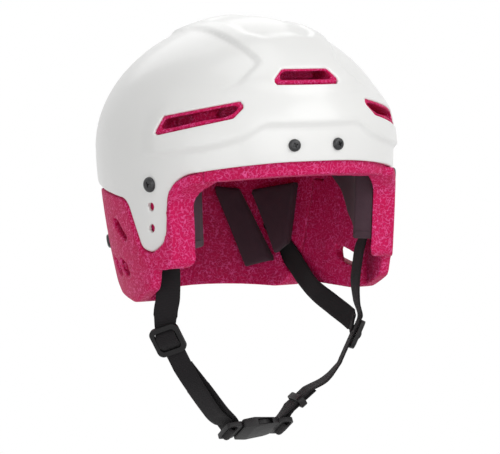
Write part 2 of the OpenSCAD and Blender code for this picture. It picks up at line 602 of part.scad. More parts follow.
module buckle_socket() color(plastic_black) in_buckle() difference() {
    union() {
        intersection() {
            translate([0, 0, -buckle_t / 2]) linear_extrude(buckle_t) polygon(rounded([
                [socket_start, -buckle_w / 2 + 1, 2], [socket_start + 8, -buckle_w / 2, 6],
                [socket_end - 4, -buckle_w / 2, 8], [socket_end, -web_w / 2 - 1, 2],
                [socket_end, web_w / 2 + 1, 2], [socket_end - 4, buckle_w / 2, 8],
                [socket_start + 8, buckle_w / 2, 6], [socket_start, buckle_w / 2 - 1, 2]]));
            rotate([90, 0, 0]) translate([0, 0, -buckle_w]) linear_extrude(2 * buckle_w) polygon(rounded([
                [socket_start, -buckle_t * 0.42, 1], [socket_start + 9, -buckle_t / 2, 8],
                [socket_end, -plate_t / 2, 3], [socket_end, plate_t / 2, 3],
                [socket_start + 9, buckle_t / 2, 8], [socket_start, buckle_t * 0.42, 1]]));
        }
        translate([socket_end - 1, 0, -plate_t / 2]) linear_extrude(plate_t)
            polygon(rounded([[0, -web_w / 2 - 2, 0], [5, -web_w / 2 - 3.2, 3],
                [ladder_len, -web_w / 2 - 2, 3],
                [ladder_len, web_w / 2 + 2, 3], [5, web_w / 2 + 3.2, 3], [0, web_w / 2 + 2, 0]]));
    }
    translate([socket_start - 1, -prong_outer - prong_gap, -cavity_t / 2])
        cube([socket_len - 6, 2 * (prong_outer + prong_gap), cavity_t]);
    for (s = [-1, 1]) translate([window_start, s * (buckle_w / 2 + 1) - 5, -cavity_t / 2])
        cube([window_len, 10, cavity_t]);
    for (x = [slot_near, slot_far]) translate([socket_end + x, -web_w / 2 - web_gap, -plate_t])
        cube([slot_w, web_w + 2 * web_gap, 2 * plate_t]);
}

cavity_t = 4;
prong_gap = 0.4;
prong_t = cavity_t - 0.6;
window_start = -8;
window_len = 10.5;
prong_root = socket_start + 1;
// Least way from the buckle's middle to the tip of a squeezed prong
prong_clear = 3.7;
prong_inner = prong_clear + (window_start + window_len - prong_root) * sin(prong_squeeze);
prong_outer = prong_inner + 2;
module buckle_plug() color(plastic_black) in_buckle() {
    translate([0, 0, -plate_t / 2]) linear_extrude(plate_t) difference() {
        polygon(rounded([[ladder_start, -buckle_w / 2 + 1, 2.5], [socket_start - 2, -buckle_w / 2, 1],
            [socket_start - 0.4, -buckle_w / 2 + 1.5, 1], [socket_start - 0.4, buckle_w / 2 - 1.5, 1],
            [socket_start - 2, buckle_w / 2, 1], [ladder_start, buckle_w / 2 - 1, 2.5]]));
        for (x = [slot_near, slot_far]) translate([ladder_start + x, -web_w / 2 - web_gap])
            square([slot_w, web_w + 2 * web_gap]);
    }
    translate([0, 0, -plate_t / 2]) linear_extrude(plate_t) polygon(rounded([
        [socket_start - 1, -prong_inner - 2, 0],
        [prong_root - 0.3, -prong_inner - 2, 0], [prong_root - 0.3, -2.2, 1], [socket_start + 16, -1.6, 1.4],
        [socket_start + 16, 1.6, 1.4], [prong_root - 0.3, 2.2, 1], [prong_root - 0.3, prong_inner + 2, 0],
        [socket_start - 1, prong_inner + 2, 0]]));
}

// One arm of the plug; its thumb pad fills the socket's side window
module buckle_prong(s) color(plastic_black) in_buckle() scale([1, s, 1]) translate([0, 0, -prong_t / 2])
    linear_extrude(prong_t) polygon(rounded([[prong_root, prong_inner, 0.8],
        [window_start + 4, prong_inner - 0.6, 2], [window_start + window_len - 1, prong_inner + 2, 1.5],
        [window_start + window_len - 1.2, buckle_w / 2 - 2, 2],
        [window_start + window_len / 2, buckle_w / 2 - 0.2, 5], [window_start + 0.5, buckle_w / 2 - 1.2, 0.6],
        [window_start + 0.5, prong_outer, 0], [prong_root, prong_outer, 0.8]]));

main_shell();
rear_shell();
crown_liner();
brow_strip();
side_liner(left);  // side_liner_left
side_liner(right);  // side_liner_right
rear_liner();
brow_pad();
crown_pad();
temple_pad(left);  // temple_pad_left
temple_pad(right);  // temple_pad_right
nape_pad(left);  // nape_pad_left
nape_pad(right);  // nape_pad_right
rear_side_pad(left);  // rear_side_pad_left
rear_side_pad(right);  // rear_side_pad_right
front_screws();
front_t_nuts();
ear_screws();
ear_t_nuts();
ear_anchor_plates();
rear_screws();
rear_t_nuts();
front_strap(left);  // front_strap_left
front_strap(right);  // front_strap_right
rear_strap(left);  // rear_strap_left
rear_strap(right);  // rear_strap_right
strap_slider(left);  // strap_slider_left
strap_slider(right);  // strap_slider_right
strap_keeper();
buckle_socket();
buckle_plug();
buckle_prong(-1);  // buckle_prong_front
buckle_prong(1);  // buckle_prong_rear
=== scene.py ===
"""The looks of a multi-sport helmet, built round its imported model.

The white shell's two mouldings are cut as flat blanks and formed over the head form, as thermoformed
shells are. The pink foam is cut from thick skins and softened, the pads are thin crowned skins, and
the harness follows the model's own stations. Sizes in the classes are millimetres in the helmet's
frame: the front faces -Y, the wearer's left is +X, and the origin is the middle of the head opening
at the height of the brow edge.
"""

from __future__ import annotations

import logging
import math
from dataclasses import dataclass, field
from enum import Enum
from typing import Any, Callable, Iterable, Sequence

import bmesh
import bpy
import numpy as np
from mathutils import Matrix, Vector

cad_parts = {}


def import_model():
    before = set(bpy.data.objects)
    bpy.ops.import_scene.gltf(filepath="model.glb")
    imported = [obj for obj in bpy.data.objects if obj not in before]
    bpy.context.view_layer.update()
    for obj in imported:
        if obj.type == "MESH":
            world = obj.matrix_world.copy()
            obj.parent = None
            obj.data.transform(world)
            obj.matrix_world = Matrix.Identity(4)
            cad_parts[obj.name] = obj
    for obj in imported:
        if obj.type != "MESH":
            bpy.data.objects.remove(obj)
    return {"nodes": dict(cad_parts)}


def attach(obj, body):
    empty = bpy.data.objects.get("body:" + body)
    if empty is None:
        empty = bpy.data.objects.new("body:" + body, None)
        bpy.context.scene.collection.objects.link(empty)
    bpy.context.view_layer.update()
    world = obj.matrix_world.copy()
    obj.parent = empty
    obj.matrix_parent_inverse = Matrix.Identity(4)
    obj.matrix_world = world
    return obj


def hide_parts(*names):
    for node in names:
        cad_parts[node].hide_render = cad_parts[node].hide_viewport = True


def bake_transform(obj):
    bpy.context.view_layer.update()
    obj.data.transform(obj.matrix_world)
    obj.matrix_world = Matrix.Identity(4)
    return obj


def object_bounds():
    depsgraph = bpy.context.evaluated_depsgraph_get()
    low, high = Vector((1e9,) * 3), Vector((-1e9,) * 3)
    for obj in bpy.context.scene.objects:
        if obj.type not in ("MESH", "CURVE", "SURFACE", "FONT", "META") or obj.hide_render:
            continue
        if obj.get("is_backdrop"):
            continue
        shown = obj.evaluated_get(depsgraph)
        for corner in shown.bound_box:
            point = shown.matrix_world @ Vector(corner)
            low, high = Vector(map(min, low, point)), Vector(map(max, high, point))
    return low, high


MM = 0.001
FAR = 160.0
log = logging.getLogger("helmet")

Points = np.ndarray
Depths = np.ndarray
Region = Callable[[Points], Depths]
Span = tuple[float, float]
Station = tuple[float, float]
Place = tuple[float, float, float]
Route = tuple[tuple[Place, Place], ...]


class Kind(Enum):
    """The surfaces that lie over the head form."""

    MAIN = "main"
    REAR = "rear"
    FOAM = "foam"
    CHEEK = "cheek"
    BODY = "body"


class Side(Enum):
    """The wearer's left and right, as the sign of X."""

    LEFT = 1
    RIGHT = -1

    @property
    def word(self) -> str:
        """The side's name as the nodes spell it."""
        return self.name.lower()

    @property
    def half(self) -> Span:
        """The span of X on this side."""
        return (0.0, FAR) if self is Side.LEFT else (-FAR, 0.0)


SIDES = (Side.LEFT, Side.RIGHT)


def smooth_step(low: float, high: float, value: Any) -> Any:
    """A smooth rise from 0 at low to 1 at high.

    Args:
        low: where the rise starts.
        high: where it ends.
        value: a number or an array.

    Returns:
        The share of the rise, of the same shape as value.
    """
    share = np.clip((value - low) / (high - low), 0, 1)
    return share * share * (3 - 2 * share)


def unit(vector: Sequence[float]) -> np.ndarray:
    """The vector at length one."""
    vector = np.asarray(vector, float)
    return vector / np.linalg.norm(vector)


def square_to(way: np.ndarray, wide: Sequence[float]) -> np.ndarray:
    """The direction nearest to wide that is square to a way."""
    return unit(wide - way * (np.asarray(wide, float) @ way))


def sided(place: Sequence[float], side: Side) -> np.ndarray:
    """A place or direction given for the wearer's left, brought to a side."""
    return np.asarray(place, float) * (side.value, 1, 1)


@dataclass(frozen=True)
class HeadForm:
    """The form that every shell, liner and pad follows."""

    half_width: float = 98.0
    front_length: float = 112.0
    rear_length: float = 122.0
    main_rear_length: float = 136.0
    crown_height: float = 89.0
    side_power: float = 0.6
    front_power: float = 0.375
    rear_power: float = 0.475
    taper_depth: float = 92.0
    belt_proud: float = 2.6
    panel_proud: float = 2.2
    channel_deep: float = 1.8
    tuck: float = 4.6
    main_rear: float = 52.0
    side_edge: float = -28.0
    tuck_fade: Span = (6.0, 26.0)
    tuck_foot: Span = (6.0, 2.5)
    taper_share: float = 0.03
    rear_taper_share: float = 0.10
    rear_taper_turns: Span = (55.0, 105.0)
    taper_power: float = 1.6
    belt_corner: float = 4.0
    belt_ends: tuple[float, ...] = (0.0, 33.0, 44.0, 60.0, 91.0)
    belt_steps: tuple[float, ...] = (21.5, 21.5, 13.5, 8.0, 0.0)
    belt_slope: float = 2.0
    belt_top: Span = (24.0, 46.0)
    belt_back: Span = (-55.0, -36.0)
    panel_corner: float = 1.5
    panel_heights: tuple[float, ...] = (43.0, 46.0, 60.0, 71.0, 77.0)
    panel_halves: tuple[float, ...] = (56.0, 46.0, 29.5, 36.0, 39.0)
    panel_slope: float = 6.0
    panel_foot: Span = (40.0, 50.0)
    crown_panel_half: float = 39.0
    crown_panel_front: float = -20.0
    channel_front_half: float = 15.0
    channel_widening: float = 8.0
    channel_widens: Span = (-70.0, -50.0)
    channel_slope: Span = (2.0, 5.0)
    channel_front: Span = (-72.0, -62.0)
    channel_back: Span = (5.0, 25.0)
    foam_base: float = 0.6
    foam_proud: float = 1.5
    foam_back: Span = (-48.0, -10.0)
    cheek_thin: float = 8.0
    cheek_back: Span = (-62.0, 20.0)

    @property
    def quarter(self) -> float:
        """The way from the crown down to the brow line, measured along the form."""
        return self.crown_height * math.pi / 2

    def chart(self, flat: Points) -> tuple[np.ndarray, np.ndarray]:
        """Turn and height of points of the flat blank, whose middle is the crown.

        Args:
            flat: points of the blank, in millimetres.

        Returns:
            The turn from the front in radians, and the height.
        """
        reach = np.hypot(flat[:, 0], flat[:, 1])
        turn = np.arctan2(flat[:, 0], -flat[:, 1])
        dome = self.crown_height * np.cos(np.minimum(reach / self.quarter, 1) * math.pi / 2)
        return turn, np.where(reach < self.quarter, dome, self.quarter - reach)

    def base(self, kind: Kind, turn: np.ndarray, height: np.ndarray) -> tuple[Points, Points]:
        """Points of the bare form and the directions in which its walls are offset.

        Args:
            kind: the surface.
            turn: turns from the front, in radians.
            height: heights above the brow line.

        Returns:
            The points and the directions, one a row.
        """
        above = 1 - (np.maximum(height, 0) / self.crown_height) ** 2
        behind = smooth_step(*self.rear_taper_turns, np.degrees(np.abs(turn)))
        share = self.taper_share + self.rear_taper_share * behind
        taper = 1 - share * (np.maximum(-height, 0) / self.taper_depth) ** self.taper_power
        ahead = np.cos(turn) > 0
        back = self.main_rear_length if kind is Kind.MAIN else self.rear_length
        length = np.where(ahead, self.front_length, back)
        power = np.where(ahead, self.front_power, self.rear_power)
        points = np.stack(
            [
                self.half_width * above**self.side_power * taper * np.sin(turn),
                -length * above**power * taper * np.cos(turn),
                height,
            ],
            axis=1,
        )
        normal = np.stack(
            [
                points[:, 0] / self.half_width**2,
                points[:, 1] / length**2,
                np.maximum(height, 0) / self.crown_height**2,
            ],
            axis=1,
        )
        return points, normal / np.linalg.norm(normal, axis=1, keepdims=True)

    def belt_step(self, x: np.ndarray) -> np.ndarray:
        """Height of the belt's lower step at a distance from the middle, its corners eased."""
        shifts = np.linspace(-self.belt_corner, self.belt_corner, 7)
        steps = [np.interp(np.abs(x + shift), self.belt_ends, self.belt_steps) for shift in shifts]
        return np.mean(steps, axis=0)

    def panel_half(self, y: np.ndarray, z: np.ndarray) -> np.ndarray:
        """Half width of the raised centre panel, its corners eased."""
        shifts = np.linspace(-self.panel_corner, self.panel_corner, 5)
        halves = [np.interp(z + shift, self.panel_heights, self.panel_halves) for shift in shifts]
        return np.where(y > self.crown_panel_front, self.crown_panel_half, np.mean(halves, axis=0))

    def channel_half(self, y: np.ndarray) -> np.ndarray:
        """Half width of the crown channel."""
        return self.channel_front_half + self.channel_widening * smooth_step(*self.channel_widens, y)

    def relief(self, kind: Kind, points: Points) -> np.ndarray:
        """How far a surface stands out from the bare form.

        Args:
            kind: the surface.
            points: places in the helmet's frame.

        Returns:
            The distance at each point.
        """
        x, y, z = np.abs(points[:, 0]), points[:, 1], points[:, 2]
        if kind is Kind.MAIN:
            panel = smooth_step(0, self.panel_slope, self.panel_half(y, z) - x)
            panel = panel * smooth_step(*self.panel_foot, z)
            half, (inner, outer) = self.channel_half(y), self.channel_slope
            channel = 1 - smooth_step(half - inner, half + outer, x)
            channel = channel * smooth_step(*self.channel_front, y)
            channel = channel * (1 - smooth_step(*self.channel_back, y))
            step, slope = self.belt_step(x), self.belt_slope
            belt = smooth_step(step - slope, step + slope, z) * (1 - smooth_step(*self.belt_top, z))
            belt = belt * (1 - smooth_step(*self.belt_back, y))
            return self.panel_proud * panel - self.channel_deep * channel + self.belt_proud * belt
        if kind is Kind.REAR:
            (start, end), (low, high) = self.tuck_fade, self.tuck_foot
            fade = 1 - smooth_step(self.main_rear + start, self.main_rear + end, y)
            return -self.tuck * fade * smooth_step(self.side_edge - low, self.side_edge - high, z)
        if kind is Kind.FOAM:
            return self.foam_base + self.foam_proud * (1 - smooth_step(*self.foam_back, y))
        if kind is Kind.CHEEK:
            return self.cheek_thin * (1 - smooth_step(*self.cheek_back, y))
        return np.zeros(len(points))

    def skin(self, kind: Kind, turn: Any, height: Any, offset: Any = 0.0) -> Points:
        """Points at an offset from one of the surfaces.

        Args:
            kind: the surface.
            turn: turns from the front, in radians.
            height: heights above the brow line.
            offset: distance outwards along the form's normal.

        Returns:
            One point a row.
        """
        turn, height = np.atleast_1d(turn).astype(float), np.atleast_1d(height).astype(float)
        points, normal = self.base(kind, turn, height)
        return points + normal * (np.asarray(offset) + self.relief(kind, points))[:, None]

    def station(self, kind: Kind, turn_deg: float, height: float) -> tuple[np.ndarray, np.ndarray]:
        """A point on a surface and the true outward normal there.

        Args:
            kind: the surface.
            turn_deg: the turn from the front, in degrees.
            height: the height above the brow line.

        Returns:
            The point and the normal.
        """
        turn, step = math.radians(turn_deg), math.radians(1)
        across = self.skin(kind, turn + step, height)[0] - self.skin(kind, turn - step, height)[0]
        up = self.skin(kind, turn, height + 1)[0] - self.skin(kind, turn, height - 1)[0]
        return self.skin(kind, turn, height)[0], unit(np.cross(across, up))


@dataclass(frozen=True)
class Outline:
    """A closed outline of corners, each with its radius."""

    corners: tuple[tuple[float, float, float], ...]
    arc_steps: int = 8

    def mirrored(self, side: Side) -> Outline:
        """The outline for a side, drawn for the wearer's right."""
        if side is Side.RIGHT:
            return self
        return Outline(tuple((-x, y, r) for x, y, r in reversed(self.corners)))

    def _arc(self, a: np.ndarray, b: np.ndarray, c: np.ndarray, radius: float) -> np.ndarray:
        """Points of the arc that rounds corner b between a and c.

        Args:
            a: the corner before.
            b: the corner itself.
            c: the corner after.
            radius: the radius, where there is room.

        Returns:
            One point a row.
        """
        to_a, to_c = unit(a - b), unit(c - b)
        half = math.acos(float(np.clip(to_a @ to_c, -1, 1))) / 2
        room = 0.48 * min(np.linalg.norm(a - b), np.linalg.norm(c - b))
        reach = min(radius / math.tan(half), room)
        fitted = reach * math.tan(half)
        middle = b + unit(to_a + to_c) * fitted / math.sin(half)
        start, end = b + to_a * reach - middle, b + to_c * reach - middle
        first = math.atan2(start[1], start[0])
        turn = math.atan2(end[1], end[0]) - first
        turn = (turn + math.pi) % (2 * math.pi) - math.pi
        angles = first + turn * np.linspace(0, 1, self.arc_steps + 1)
        return middle + fitted * np.stack([np.cos(angles), np.sin(angles)], axis=1)

    def points(self, grow: float = 0.0) -> np.ndarray:
        """The outline's points in order, moved outwards by grow.

        Args:
            grow: how far they move.

        Returns:
            One point a row.
        """
        plain = np.array([c[:2] for c in self.corners], float)
        found = []
        for i, (x, y, radius) in enumerate(self.corners):
            before, after = plain[i - 1], plain[(i + 1) % len(plain)]
            here = np.array([x, y], float)
            found.append(self._arc(before, here, after, radius) if radius > 0 else here[None])
        ring = np.concatenate(found)
        if not grow:
            return ring
        ahead = np.roll(ring, -1, axis=0) - ring
        ahead = ahead / np.maximum(np.linalg.norm(ahead, axis=1, keepdims=True), 1e-9)
        tangent = ahead + np.roll(ahead, 1, axis=0)
        normal = np.stack([tangent[:, 1], -tangent[:, 0]], axis=1)
        normal = normal / np.maximum((normal**2).sum(1, keepdims=True) / 2, 0.2)
        area = np.sum(ring[:, 0] * np.roll(ring[:, 1], -1) - np.roll(ring[:, 0], -1) * ring[:, 1])
        return ring + normal * grow * math.copysign(1, area)

    def depth(self, a: np.ndarray, b: np.ndarray) -> Depths:
        """Distance inside the outline, negative outside it.

        Args:
            a: the first coordinates.
            b: the second ones.

        Returns:
            The distance at each point.
        """
        ring = self.points()
        nearest = np.full(len(a), np.inf)
        inside = np.zeros(len(a), bool)
        for (x0, y0), (x1, y1) in zip(ring, np.roll(ring, -1, axis=0)):
            dx, dy = x1 - x0, y1 - y0
            share = np.clip(((a - x0) * dx + (b - y0) * dy) / max(dx * dx + dy * dy, 1e-12), 0, 1)
            nearest = np.minimum(nearest, np.hypot(a - x0 - share * dx, b - y0 - share * dy))
            if y0 != y1:
                spans = (y0 > b) != (y1 > b)
                inside ^= spans & (a < x0 + (b - y0) / (y1 - y0) * dx)
        return np.where(inside, nearest, -nearest)


@dataclass(frozen=True)
class SideCut:
    """An outline in [y, z], cut through from low to high along X."""

    outline: Outline
    grow: float = 0.0
    low: float = -FAR
    high: float = FAR

    def depth(self, points: Points) -> Depths:
        """Distance inside the cut."""
        inside = self.outline.depth(points[:, 1], points[:, 2]) + self.grow
        return np.where((points[:, 0] > self.low) & (points[:, 0] < self.high), inside, -FAR)

    def place(self, along: np.ndarray, up: np.ndarray, out: np.ndarray) -> Points:
        """The cut's own coordinates in the helmet's frame."""
        return np.stack([out, along, up], axis=1)


@dataclass(frozen=True)
class FaceCut:
    """An outline in [along, z], seen square-on from a turn and cut from low to high."""

    outline: Outline
    turn: float
    grow: float = 0.0
    low: float = 50.0
    high: float = FAR

    def _axes(self) -> tuple[float, float]:
        """Cosine and sine of the turn."""
        return math.cos(math.radians(self.turn)), math.sin(math.radians(self.turn))

    def depth(self, points: Points) -> Depths:
        """Distance inside the cut."""
        c, s = self._axes()
        along = points[:, 0] * c + points[:, 1] * s
        out = points[:, 0] * s - points[:, 1] * c
        inside = self.outline.depth(along, points[:, 2]) + self.grow
        return np.where((out > self.low) & (out < self.high), inside, -FAR)

    def place(self, along: np.ndarray, up: np.ndarray, out: np.ndarray) -> Points:
        """The cut's own coordinates in the helmet's frame."""
        c, s = self._axes()
        return np.stack([along * c + out * s, along * s - out * c, up], axis=1)


Cut = SideCut | FaceCut


class Bench:
    """The hand tools that every piece is made with."""

    @staticmethod
    def clear() -> None:
        """Deselects everything."""
        bpy.ops.object.select_all(action="DESELECT")

    @staticmethod
    def hold(piece: bpy.types.Object) -> None:
        """Selects one piece alone and makes it active."""
        Bench.clear()
        piece.select_set(True)
        bpy.context.view_layer.objects.active = piece

    @staticmethod
    def corners(piece: bpy.types.Object) -> Points:
        """The piece's vertices as an array."""
        found = np.empty(len(piece.data.vertices) * 3)
        piece.data.vertices.foreach_get("co", found)
        return found.reshape(-1, 3)

    @staticmethod
    def put(piece: bpy.types.Object, points: Points) -> None:
        """Moves the piece's vertices to points."""
        piece.data.vertices.foreach_set("co", np.asarray(points, np.float32).ravel())
        piece.data.update()

    @staticmethod
    def modify(piece: bpy.types.Object, kind: str, **settings: Any) -> None:
        """Adds a modifier with its settings and applies it.

        Args:
            piece: the piece.
            kind: the modifier's type.
            **settings: its settings, by name.
        """
        Bench.hold(piece)
        bpy.ops.object.modifier_add(type=kind)
        modifier = piece.modifiers[-1]
        for name, value in settings.items():
            setattr(modifier, name, value)
        bpy.ops.object.modifier_apply(modifier=modifier.name)

    @staticmethod
    def shade(piece: bpy.types.Object, angle: float = 40.0) -> None:
        """Shades the piece smooth, with sharp edges above an angle in degrees."""
        Bench.hold(piece)
        bpy.ops.object.shade_smooth_by_angle(angle=math.radians(angle))

    @staticmethod
    def combine(piece: bpy.types.Object, other: bpy.types.Object, operation: str) -> None:
        """Joins, cuts or keeps what two closed solids share, and bins the other."""
        Bench.modify(piece, "BOOLEAN", operation=operation, object=other, solver="MANIFOLD")
        bpy.data.objects.remove(other)

    @staticmethod
    def prism(cut: Cut) -> bpy.types.Object:
        """A closed prism of a cut's outline.

        Args:
            cut: the outline and the way that it is cut.

        Returns:
            The prism, in millimetres.
        """
        ring = cut.outline.points(cut.grow)
        Bench.clear()
        bpy.ops.mesh.primitive_circle_add(vertices=len(ring), radius=1, fill_type="NGON")
        piece = bpy.context.object
        Bench.put(piece, np.column_stack([ring, np.zeros(len(ring))]))
        bpy.ops.object.mode_set(mode="EDIT")
        bpy.ops.mesh.select_all(action="SELECT")
        bpy.ops.mesh.extrude_region_move(TRANSFORM_OT_translate={"value": (0, 0, 1)})
        bpy.ops.object.mode_set(mode="OBJECT")
        flat = Bench.corners(piece)
        out = np.where(flat[:, 2] > 0.5, cut.high, cut.low)
        Bench.put(piece, cut.place(flat[:, 0], flat[:, 1], out))
        Bench.face_out(piece)
        return piece

    @staticmethod
    def face_out(piece: bpy.types.Object) -> None:
        """Turns the faces of a closed solid outwards."""
        Bench.hold(piece)
        bpy.ops.object.mode_set(mode="EDIT")
        bpy.ops.mesh.select_all(action="SELECT")
        bpy.ops.mesh.normals_make_consistent(inside=False)
        bpy.ops.object.mode_set(mode="OBJECT")

    @staticmethod
    def cylinder(point: Sequence[float], axis: Sequence[float], low: float, high: float,
                 radius: float, sides: int = 48) -> bpy.types.Object:
        """A cylinder that stands on an axis from low to high along it.

        Args:
            point: the origin of the axis.
            axis: the axis.
            low: where it starts along the axis.
            high: where it ends.
            radius: the radius.
            sides: faces round it.

        Returns:
            The cylinder.
        """
        Bench.clear()
        bpy.ops.mesh.primitive_cylinder_add(vertices=sides, radius=radius, depth=high - low)
        piece = bpy.context.object
        turn = Vector(axis).to_track_quat("Z", "Y").to_matrix().to_4x4()
        lift = Matrix.Translation((0, 0, (low + high) / 2))
        piece.data.transform(Matrix.Translation(Vector(point)) @ turn @ lift)
        return piece

    @staticmethod
    def scale_down(piece: bpy.types.Object) -> None:
        """Brings a piece made in millimetres to metres."""
        piece.data.transform(Matrix.Scale(MM, 4))
        piece.data.update()


class Blank:
    """A round sheet of the head form's flat chart, cut to shape and formed over the head."""

    SNAP = 0.24

    def __init__(self, name: str, form: HeadForm, kind: Kind, cells: int, foot: float) -> None:
        """Lays out the sheet.

        Args:
            name: the finished piece's name.
            form: the head form.
            kind: the surface that the sheet's cuts are measured on.
            cells: cells along each side of the sheet.
            foot: depth that the sheet reaches below the brow line.
        """
        self.form = form
        self.kind = kind
        Bench.clear()
        bpy.ops.mesh.primitive_grid_add(x_subdivisions=cells, y_subdivisions=cells, size=2)
        self.piece = bpy.context.object
        self.piece.name = name
        square = Bench.corners(self.piece)
        a, b = square[:, 0], square[:, 1]
        wide = np.abs(a) > np.abs(b)
        radius = np.where(wide, a, b)
        ratio = np.where(wide, b, a) / np.where(radius == 0, 1, radius)
        angle = np.where(wide, ratio * math.pi / 4, math.pi / 2 - ratio * math.pi / 4)
        radius = radius * (form.quarter + foot)
        Bench.put(self.piece, np.column_stack([radius * np.cos(angle), radius * np.sin(angle), 0 * a]))
        self.sheet = bmesh.new()
        self.sheet.from_mesh(self.piece.data)
        self.line = self.sheet.verts.layers.int.new("line")

    def _flat(self) -> Points:
        """The sheet's vertices."""
        return np.array([v.co for v in self.sheet.verts])

    def over(self, flat: Points, kind: Kind | None = None, offset: Any = 0.0) -> Points:
        """Points of the sheet as they lie on the head."""
        turn, height = self.form.chart(flat)
        return self.form.skin(kind or self.kind, turn, height, offset)

    def keep(self, region: Region, margin: float = 0.0) -> None:
        """Drops the faces whose middle lies further than a margin outside a region.

        Args:
            region: gives the distance inside.
            margin: how far outside a face may lie.
        """
        middles = np.array([f.calc_center_median() for f in self.sheet.faces])
        outside = region(self.over(middles)) < -margin
        gone = [f for f, out in zip(self.sheet.faces, outside) if out]
        bmesh.ops.delete(self.sheet, geom=gone, context="FACES")

    def cut(self, level: Region) -> None:
        """Adds an edge line where a level is zero; where it is not a number there is no line.

        Args:
            level: gives the level at points on the head.
        """
        sheet, line = self.sheet, self.line
        sheet.verts.index_update()
        edges = list(sheet.edges)
        level_at = level(self.over(self._flat()))
        ends = np.array([(e.verts[0].index, e.verts[1].index) for e in edges])
        first, second = level_at[ends[:, 0]], level_at[ends[:, 1]]
        crossing = np.nonzero(first * second < 0)[0]
        share = first[crossing] / (first[crossing] - second[crossing])
        worth = dict(zip(sheet.verts, level_at.tolist()))
        touched = []
        for i, part in zip(crossing, share):
            a, b = edges[i].verts
            near, far_end = (a, b) if part < 0.5 else (b, a)
            part = min(part, 1 - part)
            if part < self.SNAP and not near[line] and worth[near] != 0:
                near.co = near.co.lerp(far_end.co, part)
                worth[near] = 0.0
                near[line] = 1
                touched.append(near)
        for i in crossing:
            a, b = edges[i].verts
            if worth[a] * worth[b] < 0:
                part = worth[a] / (worth[a] - worth[b])
                spot = a.co.lerp(b.co, part)
                _, made = bmesh.utils.edge_split(edges[i], a, part)
                made.co = spot
                made[line] = 1
                worth[made] = 0.0
                touched.append(made)
        for face in {f for v in touched for f in v.link_faces}:
            self._split(face, worth)

    @staticmethod
    def _split(face: bmesh.types.BMFace, worth: dict) -> None:
        """Splits a face between two vertices of the new line.

        Args:
            face: the face.
            worth: the level at each vertex.
        """
        ring = list(face.verts)
        count = len(ring)
        zeros = [k for k in range(count) if worth[ring[k]] == 0]
        for i in zeros:
            for j in zeros:
                if j - i < 2 or j - i == count - 1:
                    continue
                between = sum(worth[ring[k]] for k in range(i + 1, j))
                rest = sum(worth[v] for v in ring) - between
                if between * rest < 0:
                    bmesh.utils.face_split(face, ring[i], ring[j])
                    return

    def trim(self, region: Region, lines: Iterable[float] = ()) -> None:
        """Cuts the sheet to a region, with more edge lines at some distances inside its rim.

        Args:
            region: gives the distance inside.
            lines: the distances inside the rim.
        """
        self.keep(region, margin=8.0)
        self.cut(region)
        self.keep(region)
        for distance in lines:
            self.cut(lambda points, d=distance: region(points) - d)

    def thicken(self) -> None:
        """Turns the sheet into a closed plate, its lower face one unit down."""
        self.sheet.verts.layers.int.remove(self.line)
        self.sheet.to_mesh(self.piece.data)
        self.sheet.free()
        Bench.hold(self.piece)
        bpy.ops.object.mode_set(mode="EDIT")
        bpy.ops.mesh.select_all(action="SELECT")
        bpy.ops.mesh.extrude_region_move(TRANSFORM_OT_translate={"value": (0, 0, -1)})
        bpy.ops.mesh.select_all(action="SELECT")
        bpy.ops.mesh.normals_make_consistent(inside=False)
        bpy.ops.object.mode_set(mode="OBJECT")

    def form_over(self, outer: tuple[Kind, Callable], inner: tuple[Kind, Callable],
                  region: Region | None = None) -> bpy.types.Object:
        """Forms the plate over the head.

        Args:
            outer: the outer face's surface, and its offset as a function of the distance from the rim.
            inner: the same for the inner face.
            region: gives the distance from the rim.

        Returns:
            The formed piece, in millimetres.
        """
        flat = Bench.corners(self.piece)
        top = flat[:, 2] > -0.5
        rim = region(self.over(flat)) if region else np.full(len(flat), FAR)
        rim = np.maximum(rim, 0)
        made = np.empty_like(flat)
        for faces, (kind, offset) in ((top, outer), (~top, inner)):
            made[faces] = self.over(flat[faces], kind, offset(rim[faces]))
        Bench.put(self.piece, made)
        return self.piece


def round_over(radius: float) -> Callable[[Depths], Depths]:
    """How far a rounded edge drops at a distance from the rim.

    Args:
        radius: the edge's radius.

    Returns:
        A function of the distance from the rim.
    """

    def drop(rim: Depths) -> Depths:
        """The drop at each distance."""
        short = np.clip(radius - rim, 0, radius)
        return radius - np.sqrt(radius**2 - short**2)

    return drop


class Socket:
    """A shader socket that reads like a number in an expression."""

    def __init__(self, tree: ShaderTree, socket: bpy.types.NodeSocket) -> None:
        """Wraps one output of a node of a tree."""
        self.tree = tree
        self.socket = socket

    def __add__(self, other: Any) -> Socket:
        """Sum."""
        return self.tree.math("ADD", self, other)

    __radd__ = __add__

    def __sub__(self, other: Any) -> Socket:
        """Difference."""
        return self.tree.math("SUBTRACT", self, other)

    def __rsub__(self, other: Any) -> Socket:
        """Difference from a number."""
        return self.tree.math("SUBTRACT", other, self)

    def __mul__(self, other: Any) -> Socket:
        """Product."""
        return self.tree.math("MULTIPLY", self, other)

    __rmul__ = __mul__

    def __abs__(self) -> Socket:
        """Size without its sign."""
        return self.tree.math("ABSOLUTE", self)

    def sine(self) -> Socket:
        """Sine."""
        return self.tree.math("SINE", self)

    def power(self, exponent: float) -> Socket:
        """The value raised to an exponent."""
        return self.tree.math("POWER", self, exponent)

    def step(self, low: float, high: float) -> Socket:
        """A smooth rise from 0 at low to 1 at high.

        Args:
            low: where the rise starts.
            high: where it ends.

        Returns:
            The share of the rise.
        """
        made = self.tree.node(
            "ShaderNodeMapRange",
            {"interpolation_type": "SMOOTHSTEP"},
            {"Value": self, "From Min": low, "From Max": high},
        )
        return Socket(self.tree, made.outputs["Result"])


